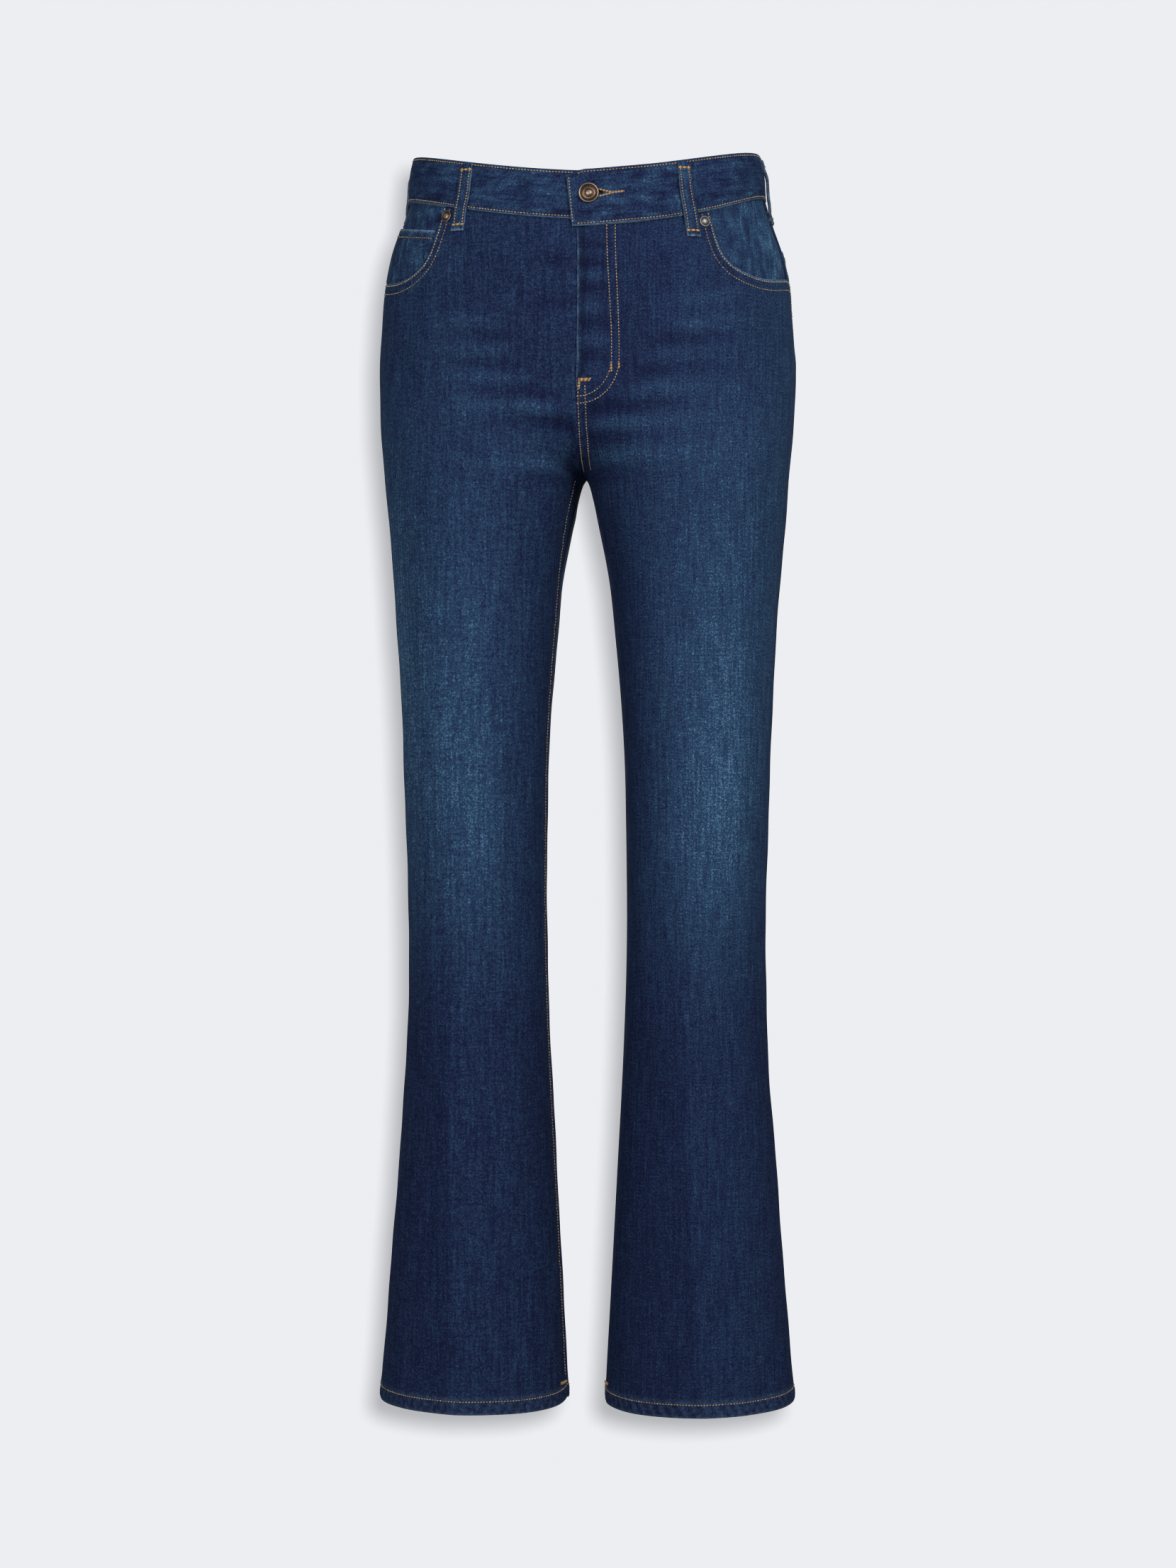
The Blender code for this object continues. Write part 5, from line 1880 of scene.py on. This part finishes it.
    def sew_run(self, sewing: Sewing, alongs: ndarray, edge: BandEdge) -> None:
        """Stitches one edge over a run of places that are all on one half."""
        groups: dict[Half, list[tuple[float, float, float]]] = {L: [], R: []}
        for along in alongs:
            _, around = self.half_of(along)
            deep = self.depth(along, abs(around))
            inset = self.stitch_inset / deep
            half, around, z, lift = self.place(along, inset if edge is BandEdge.TOP else 1.0 - inset)
            groups[half].append((around, z, lift - 0.00020))
        for half, found in groups.items():
            if len(found) > 2:
                around, z, lift = (np.array(values) for values in zip(*found))
                sewing.sew(half, around, z, lift, 0.62, 0.0026)


@dataclass
class BeltLoop:
    """A belt loop, sewn down above the band's top stitch and below its seam."""

    pattern: Pattern
    name: str
    half: Half
    around: float
    width: float = 0.011
    stand_off: float = 0.0025
    below_band: float = 0.0185
    below_top: float = 0.0018
    flat_end: float = 0.006
    row_place: float = 0.0036
    tack_reach: float = 0.0009

    def span(self) -> tuple[float, float]:
        """Heights of its two ends."""
        top = float(self.pattern.waist_top(self.around)) - self.below_top
        return top, float(self.pattern.waist_seam(self.half, self.around)) - self.below_band

    def lift_at(self, z: ndarray) -> ndarray:
        """How far outside the form its inner face is."""
        top, bottom = self.span()
        seam = float(self.pattern.waist_seam(self.half, self.around))
        seat = self.pattern.band_proud + 0.0003
        up = ramp((top - z - self.flat_end) / 0.010)
        down = ramp((z - bottom - self.flat_end) / 0.010)
        lift = seat + (self.stand_off - seat) * np.minimum(up, down)
        below = ramp((seam - 0.001 - z) / 0.003)
        low = np.minimum(lift, 0.0005 + (lift - seat))
        return lift + (low - lift) * below

    def face(self, across: ndarray, z: ndarray) -> tuple[ndarray, ndarray]:
        """Around and lift of the loop's outer face, across from its middle in metres."""
        top, bottom = self.span()
        around = self.around + self.pattern.form.step(self.around, 0.5 * (top + bottom), 1.0) * across
        rounded = -0.0008 * round_off(self.width / 2 - np.abs(across), 0.0010)
        groove = -0.00022 * bell(np.abs(across) - self.row_place, 0.0007)
        middle = 0.00030 * bell(across, 0.0018)
        return around, self.lift_at(z) + self.pattern.loop_cloth + rounded + groove + middle

    def build(self, finishes: Finishes) -> Object:
        """Makes the loop.

        Args:
            finishes: The garment's materials.

        Returns:
            The object.
        """
        top, bottom = self.span()
        deep, near = top - bottom, np.array([0.0, 0.0003, 0.0008])
        rows = np.concatenate([near, np.linspace(0.0016, deep - 0.0016, 44), deep - near[::-1]])
        side = self.width / 2 - np.array([0.0, 0.0002, 0.0006])
        across = np.concatenate([-side, np.linspace(-0.0043, 0.0043, 13), side[::-1]])
        z, across = np.broadcast_arrays((top - rows)[:, None], across)
        around, lift = self.face(across, z)
        ends = np.minimum(top - z, z - bottom)
        lift = lift - 0.0006 * bell(ends, 0.0007)
        under = self.lift_at(z)
        outer, inner = self.pattern.form.stand(self.half, around, z, (lift, under))
        wear = 0.40 * bell(self.width / 2 - np.abs(across), 0.0007)
        wear = wear + 0.9 * bell(z - bottom, 0.0013)
        # Painted shade: the cloth is darker in the grooves along both stitch rows.
        wear = wear - 0.35 * bell(np.abs(across) - self.row_place, 0.0007)
        fade = 0.52 + 0.06 * np.sin(z / 0.0031 + self.around * 9.0) * np.sin(z / 0.0083)
        grid = ClothGrid(self.name, outer, inner, across, z, fade, wear)
        return grid.lay(finishes, "denim_worn", ["waistband"])

    def sew(self, sewing: Sewing, tacks: Stitches) -> None:
        """Stitches both long edges, and tacks both ends down."""
        top, bottom = self.span()
        z = np.linspace(top - 0.0035, bottom + 0.0035, 60)
        for side in (-self.row_place, self.row_place):
            around, lift = self.face(np.full_like(z, side), z)
            sewing.sew(self.half, around, z, lift, 0.66, 0.0023)
        for height in (top - 0.0052, bottom + 0.0048):
            self.tack(tacks, height)

    def tack(self, tacks: Stitches, height: float) -> None:
        """A bar of close thread across the loop at a height."""
        across = np.arange(-0.0051, 0.0052, CLOSE_PITCH)
        lean = 0.00018 * np.where(np.arange(len(across)) % 2, 1.0, -1.0)
        edges = []
        for sign in (1.0, -1.0):
            z = np.full_like(across, height + sign * self.tack_reach)
            around, lift = self.face(across + lean * sign, z)
            edges.append((around, z, lift))
        tacks.bar(self.pattern.form, self.half, edges, 7.0)


class Tack(NamedTuple):
    """A bar of close thread on the front: its ends as distances across and heights."""

    half: Half
    start: tuple[float, float]
    end: tuple[float, float]
    lift: float
    width: float


TACKS = (
    Tack(L, (0.0024, -0.1815), (0.0113, -0.1815), 0.0019, 0.0030),
    Tack(L, (0.0026, -0.1825), (0.0026, -0.1885), 0.0019, 0.0016),
    Tack(L, (0.0288, -0.1684), (0.0291, -0.1748), 0.0015, 0.0013),
    Tack(L, (0.0350, -0.1673), (0.0352, -0.1725), 0.0011, 0.0013),
    Tack(L, (0.0180, -0.0256), (0.0286, -0.0284), 0.0037, 0.0015),
    Tack(L, (0.0180, -0.0318), (0.0286, -0.0290), 0.0037, 0.0015),
    Tack(L, (0.0280, -0.0287), (0.0386, -0.0274), 0.0035, 0.0017),
    Tack(L, (0.0172, -1.0165), (0.0205, -1.0168), 0.0006, 0.0024),
    Tack(R, (0.0172, -1.0165), (0.0205, -1.0168), 0.0006, 0.0024),
)


def sew_tack(form: JeansForm, tacks: Stitches, tack: Tack) -> None:
    """Adds one of the front's bar tacks to the thread."""
    start, end = (np.array((form.around_at(x, z), z)) for x, z in (tack.start, tack.end))
    flat = (end - start) * (FLAT_SCALE, 1.0)
    long = float(np.hypot(*flat))
    share = np.linspace(0.0, 1.0, max(int(long / CLOSE_PITCH), 3))[:, None]
    middle = start + (end - start) * share
    beside = np.array([-flat[1], flat[0]]) / long * (tack.width / 2) / (FLAT_SCALE, 1.0)
    edges = [(*(middle + sign * beside).T, tack.lift) for sign in (1.0, -1.0)]
    tacks.bar(form, tack.half, edges, 5.0)


@dataclass
class TopStitching:
    """The lines of topstitching on the panels."""

    pattern: Pattern
    seat_rows: tuple[float, float] = (0.0019, 0.0078)
    fly_foot_rows: tuple[float, float] = (0.0016, 0.0074)
    fly_top_z: float = -0.0545
    crotch_end_z: float = -0.2520

    def scoops(self) -> list[Line]:
        """Two rows along each front pocket's edge."""
        made = []
        for half in Half:
            around, z = self.pattern.scoop_line(half)
            run = run_along(flat_places(around, z))
            even = np.linspace(0.0, run[-1], 160)
            around, z = np.interp(even, run, around), np.interp(even, run, z)
            for distance, tone in ((0.0021, 0.68), (0.0090, 0.52)):
                a, h = offset_line(around, z, distance)
                seam = self.pattern.waist_seam(half, a) - 0.001
                keep = (a < 0.996) & (h < seam)
                made.append(Line(half, a[keep], h[keep], 0.0, tone))
        return made

    def fly(self) -> list[Line]:
        """The two curved rows of the fly, and the two beside the seam below it."""
        form = self.pattern.form
        made = []
        for x_top, x_mid, z_turn, z_end in (
            (0.0250, 0.0292, -0.1640, -0.1948),
            (0.0319, 0.0353, -0.1650, -0.2006),
        ):
            straight = np.linspace(self.fly_top_z, z_turn, 60)
            share = (straight - self.fly_top_z) / (z_turn - self.fly_top_z)
            x = x_top + (x_mid - x_top) * ramp(share * 1.1)
            turn = np.linspace(0.0, 0.5 * math.pi, 40)[1:]
            x = np.concatenate([x, x_mid * np.cos(turn) ** 0.9 - 0.0005 * np.sin(turn)])
            z = np.concatenate([straight, z_turn + (z_end - z_turn) * np.sin(turn)])
            around = np.array([form.around_at(a, b) for a, b in zip(x, z)])
            lift = self.pattern.fly_lift(around, z)
            made.append(Line(L, around, z, lift, 0.62))
        for distance in self.fly_foot_rows:
            z = np.linspace(-0.186, self.crotch_end_z, 50)
            around = np.array([form.around_at(distance, h) for h in z])
            made.append(Line(L, around, z, self.pattern.fly_lift(around, z), 0.62))
        return made

    def inseams(self) -> list[Line]:
        """One row beside the right inside leg seam, on the front."""
        z = np.array([-0.2590, -0.2717, -0.300, -0.3568, -0.45, -0.60, -0.8673, -0.95, -1.0120])
        near = np.array([0.1008, 0.0839, 0.048, 0.0120, 0.0080, 0.0075, 0.0075, 0.012, 0.020])
        fine = np.linspace(z[0], z[-1], 320)
        around = np.interp(-fine, -z, near)
        return [Line(R, around, fine, 0.0, 0.66, 0.00030)]

    def seats(self) -> list[Line]:
        """Two rows above each yoke seam, and two beside the seam down the seat."""
        made = []
        for half in Half:
            around = np.linspace(1.006, 1.994, 150)
            for rise in self.seat_rows:
                made.append(Line(half, around, self.pattern.yoke_seam(half, around) + rise, 0.0, 0.60))
        z = np.linspace(float(self.pattern.yoke_seam(L, 2.0)) - 0.003, self.crotch_end_z, 90)
        for distance in self.seat_rows:
            around = 2.0 - self.pattern.form.step(2.0, z, distance)
            made.append(Line(L, around, z, 0.0, 0.60))
        return made

    def hems(self) -> list[Line]:
        """A row round each hem."""
        made = []
        for half in Half:
            for low, high in ((0.006, 0.994), (1.006, 1.994)):
                around = np.linspace(low, high, 130)
                z = self.pattern.leg_z(around, self.pattern.hem_z + self.pattern.hem_depth - 0.0012)
                made.append(Line(half, around, z, self.pattern.hem_proud, 0.58, 0.00034))
        return made


@dataclass
class TurnedMetal:
    """A round metal piece, turned about an axis that stands on the cloth."""

    name: str
    node: str
    slot: str
    profile: tuple[tuple[float, float, float], ...]
    segments: int = 72

    def build(self, base: ndarray, axis: ndarray, material: Material) -> Object:
        """Makes the piece.

        Args:
            base: Where its axis meets the form.
            axis: The axis, pointing out.
            material: The metal's material.

        Returns:
            The object.
        """
        axis = axis / np.linalg.norm(axis)
        across = np.cross(axis, (0.0, 0.0, 1.0))
        across /= np.linalg.norm(across)
        upward = np.cross(across, axis)
        rows = np.array(self.profile)
        turns = 2 * math.pi * np.arange(self.segments) / self.segments
        ring = np.cos(turns)[:, None] * across + np.sin(turns)[:, None] * upward
        points = base + rows[:, 0, None, None] * ring[None] + rows[:, 1, None, None] * axis
        index = np.arange(len(rows) * self.segments).reshape(len(rows), -1)
        over = np.roll(index, -1, axis=1)
        faces = np.stack([index[:-1], over[:-1], over[1:], index[1:]], axis=-1).reshape(-1, 4)
        made = mesh_object(self.name, points.reshape(-1, 3), faces)
        keep_value(made, "rubbed", np.repeat(rows[:, 2], self.segments))
        made.data.set_sharp_from_angle(angle=math.radians(60))
        made.data.materials.append(material)
        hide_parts(self.node)
        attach(made, "root")
        LOG.info("%s: %d faces", self.name, len(faces))
        return made


def rounded_profile(corners: Sequence[tuple[float, float, float]], bends: int = 4) -> tuple:
    """A profile with its corners rounded.

    Args:
        corners: Radius, height and how rubbed, from the middle of the foot to the middle of the top.
        bends: Points for each rounded corner.

    Returns:
        The finer profile.
    """
    rows = np.array(corners)
    made = [tuple(rows[0])]
    for before, here, after in zip(rows, rows[1:], rows[2:]):
        start, end = here + (before - here) * 0.32, here + (after - here) * 0.32
        for t in np.linspace(0.0, 1.0, bends):
            made.append(tuple((1 - t) ** 2 * start + 2 * t * (1 - t) * here + t * t * end))
    made.append(tuple(rows[-1]))
    return tuple(made)


@dataclass
class Hardware:
    """The button and the rivets."""

    pattern: Pattern
    button_radius: float = 0.0085
    rivet_radius: float = 0.00475

    def button(self, band: Waistband, finishes: Finishes) -> Object:
        """The shank button: a ringed cap over the lap, with a plain dome."""
        form = self.pattern.form
        around = form.around_at(band.button_x, band.button_z)
        base, out = form.stand(L, around, band.button_z, (0.0, 1.0))
        foot = self.pattern.band_proud + 0.0003
        under = self.pattern.band_proud + self.pattern.lap_lift + 0.0005
        r = self.button_radius
        corners = (
            (0.0, foot, 0.0), (0.0013, foot, 0.0), (0.0013, under, 0.0), (r - 0.0007, under, 0.1),
            (r, under + 0.0007, 0.5), (r, under + 0.0016, 0.8), (r - 0.0006, under + 0.0024, 1.0),
            (r - 0.0014, under + 0.0022, 0.6), (r - 0.0018, under + 0.0012, 0.0),
            (r - 0.0028, under + 0.0011, 0.0), (r - 0.0033, under + 0.0016, 0.5),
            (0.0038, under + 0.0018, 0.45), (0.0034, under + 0.0013, 0.1),
            (0.0029, under + 0.0016, 0.5), (0.0018, under + 0.0023, 0.9), (0.0, under + 0.0025, 1.0),
        )
        cap = TurnedMetal("shank_button", "button", "copper", rounded_profile(corners))
        return cap.build(base, out - base, finishes.copper)

    def rivet(self, node: str, half: Half, around: float, z: float, slot: str, metal: Material) -> Object:
        """A rivet with a plain dome in a rim."""
        form = self.pattern.form
        base, out = form.stand(half, around, z, (0.0003, 1.0))
        r = self.rivet_radius
        corners = (
            (0.0, 0.0, 0.0), (r - 0.0004, 0.0, 0.0), (r, 0.0004, 0.6), (r - 0.0003, 0.0010, 1.0),
            (r - 0.0009, 0.0011, 0.4), (r - 0.0013, 0.0007, 0.0), (r - 0.0018, 0.0008, 0.1),
            (0.5 * r, 0.0014, 0.7), (0.25 * r, 0.0018, 1.0), (0.0, 0.0019, 1.0),
        )
        return TurnedMetal(f"{node}_cap", node, slot, rounded_profile(corners)).build(base, out - base, metal)


@dataclass
class Studio:
    """Camera, stage and lights."""

    azimuth: float = math.radians(4.8)
    distance: float = 3.2
    aim_z: float = -0.5124
    aside: float = 0.0009
    frame_height: float = 1.3272
    sensor: float = 36.0
    backdrop: tuple[float, float, float] = (0.838, 0.855, 0.888)
    ambient: float = 0.24
    wall_y: float = 3.0
    floor_z: float = -1.85
    wall_power: float = 1500.0
    shadow_turn: float = math.radians(4.8 + 0.37)
    shadow_rise: float = math.radians(0.40)
    shadow_size: float = 0.042
    shadow_share: float = 0.47
    softbox_far: float = 3.0

    def camera(self) -> None:
        """Puts the camera where the photograph was taken from."""
        back = Vector((math.sin(self.azimuth), -math.cos(self.azimuth), 0.0))
        right = Vector((math.cos(self.azimuth), math.sin(self.azimuth), 0.0))
        data = bpy.data.cameras.new("camera")
        data.sensor_width = self.sensor
        data.lens = self.distance * self.sensor / self.frame_height
        camera = bpy.data.objects.new("camera", data)
        camera.location = back * self.distance + right * self.aside + Vector((0, 0, self.aim_z))
        camera.rotation_euler = (-back).to_track_quat("-Z", "Y").to_euler()
        bpy.context.scene.collection.objects.link(camera)
        bpy.context.scene.camera = camera

    def world(self) -> None:
        """A pale surround that barely lights the garment."""
        world = bpy.data.worlds.new("studio")
        world.use_nodes = True
        nodes, links = world.node_tree.nodes, world.node_tree.links
        seen, lit = nodes["Background"], nodes.new("ShaderNodeBackground")
        seen.inputs[0].default_value = (*self.backdrop, 1.0)
        lit.inputs[0].default_value = (0.93, 0.96, 1.0, 1.0)
        lit.inputs[1].default_value = self.ambient
        path, mix = nodes.new("ShaderNodeLightPath"), nodes.new("ShaderNodeMixShader")
        links.new(path.outputs["Is Camera Ray"], mix.inputs[0])
        links.new(lit.outputs[0], mix.inputs[1])
        links.new(seen.outputs[0], mix.inputs[2])
        links.new(mix.outputs[0], nodes["World Output"].inputs[0])
        bpy.context.scene.world = world

    def lamp(
        self, name: str, turn: float, rise: float, size: float, power: float, only: str, far: float
    ) -> Object:
        """A round light that faces the garment.

        Args:
            name: Its name.
            turn: Its direction round the garment from the front, in radians.
            rise: Its height angle, in radians.
            size: How wide it is.
            power: Its energy.
            only: INCLUDE where it lights only the stage, EXCLUDE where it lights all the rest.
            far: Its distance.

        Returns:
            The lamp.
        """
        way = Vector((math.sin(turn) * math.cos(rise), -math.cos(turn) * math.cos(rise), math.sin(rise)))
        data = bpy.data.lights.new(name, "AREA")
        data.energy, data.shape, data.size = power, "DISK", size
        lamp = bpy.data.objects.new(name, data)
        lamp.location = way * far + Vector((0, 0, self.aim_z))
        lamp.rotation_euler = way.to_track_quat("Z", "Y").to_euler()
        lamp.visible_camera = False
        bpy.context.scene.collection.objects.link(lamp)
        stage = bpy.data.collections.new(f"{name}_stage")
        for set_piece in ("wall", "floor"):
            stage.objects.link(bpy.data.objects[set_piece])
        lamp.light_linking.receiver_collection = stage
        for member in stage.collection_objects:
            member.light_linking.link_state = only
        return lamp

    def softbox(self, name: str, turn: float, rise: float, size: float, power: float) -> None:
        """A round soft light for the garment alone."""
        self.lamp(name, math.radians(turn), math.radians(rise), size, power, "EXCLUDE", self.softbox_far)

    def shadow(self) -> None:
        """The soft shadow round the garment, from a lamp beside the camera and one without shadow."""
        for name, share in (("shadow", self.shadow_share), ("open", 1.0 - self.shadow_share)):
            power = self.wall_power * share
            place = (self.shadow_turn, self.shadow_rise, self.shadow_size)
            lamp = self.lamp(name, *place, power, "INCLUDE", self.distance)
            lamp.data.use_shadow = name == "shadow"

    def stage(self) -> None:
        """A pale wall and floor that show only the garment's shadow."""
        plain = Graph("pale_stage")
        plain.settle(Base_Color=(0.86, 0.86, 0.87, 1.0), Roughness=1.0, Specular_IOR_Level=0.0)
        reach = 4.0
        low, top = self.floor_z, self.floor_z + 4.0
        wall = ((-reach, self.wall_y, low), (reach, self.wall_y, low),
                (reach, self.wall_y, top), (-reach, self.wall_y, top))
        floor = ((-reach, -reach, low), (reach, -reach, low), (reach, reach, low), (-reach, reach, low))
        for name, corners in (("wall", wall), ("floor", floor)):
            made = mesh_object(name, np.array(corners, float), np.array([[0, 1, 2, 3]]))
            made.data.materials.append(plain.material)
            made.is_shadow_catcher = True
            made.visible_diffuse = made.visible_glossy = made.visible_shadow = False

    def build(self) -> None:
        """Sets up everything but the garment."""
        self.camera()
        self.world()
        self.stage()
        self.shadow()
        self.softbox("key", 36.0, 30.0, 1.0, 50.0)
        self.softbox("front", -24.0, 12.0, 1.8, 38.0)
        self.softbox("back", 185.0, 20.0, 1.8, 60.0)
        bpy.context.scene.view_settings.view_transform = "Standard"
        LOG.info("studio: camera %.1f m away", self.distance)


def main() -> None:
    """Builds the garment's pieces in order."""
    logging.basicConfig(level=logging.INFO, format="%(name)s: %(message)s")
    Studio().build()
    finishes = make_finishes()
    form = JeansForm()
    pattern = Pattern(form)
    wash = Wash()
    lines = TopStitching(pattern)
    coin = CoinPocket(pattern)
    pockets = [BackPocket(pattern, half) for half in Half]
    band = Waistband(pattern)
    sewing = Sewing(form, Stitches("topstitching_front"))
    panel_lines = lines.scoops() + lines.fly() + lines.inseams() + lines.hems()
    back_lines = lines.seats()
    pocket_lines = [line for pocket in pockets for line in pocket.lines()]
    sewing.sink(panel_lines + back_lines + pocket_lines)
    for half in Half:
        FrontPanel(pattern, half, wash).build(finishes)
        BackPanel(pattern, half, wash).build(finishes)
        make_yoke(pattern, wash, half).build(finishes)
        make_facing(pattern, wash, half).build(finishes)
    coin.patch(wash).build(finishes)
    for pocket in pockets:
        pocket.patch(wash).build(finishes)
    band.build(finishes)
    loops = [
        BeltLoop(pattern, "loop_front_left", L, 0.361),
        BeltLoop(pattern, "loop_front_right", R, 0.390),
        BeltLoop(pattern, "loop_side_left", L, 1.05),
        BeltLoop(pattern, "loop_side_right", R, 1.05),
        BeltLoop(pattern, "loop_back", L, 2.0),
    ]
    tacks = Stitches("bar_tacks")
    band_sewing = Sewing(form, Stitches("topstitching_band"), seed=5)
    back_sewing = Sewing(form, Stitches("topstitching_back"), seed=7)
    for loop in loops:
        loop.build(finishes)
        loop.sew(band_sewing, tacks)
    band.sew(band_sewing)
    sewing.follow(panel_lines + coin.lines())
    back_sewing.follow(back_lines + pocket_lines)
    for sewn in (sewing, band_sewing, back_sewing):
        sewn.rows.build(finishes.thread)
    for tack in TACKS:
        sew_tack(form, tacks, tack)
    tacks.build(finishes.tack)
    hardware = Hardware(pattern)
    hardware.button(band, finishes)
    hardware.rivet("rivet_left", L, 0.419, -0.0500, "pewter", finishes.pewter)
    hardware.rivet("rivet_right", R, 0.461, -0.0425, "copper", finishes.copper)


if __name__ == "__main__":
    main()
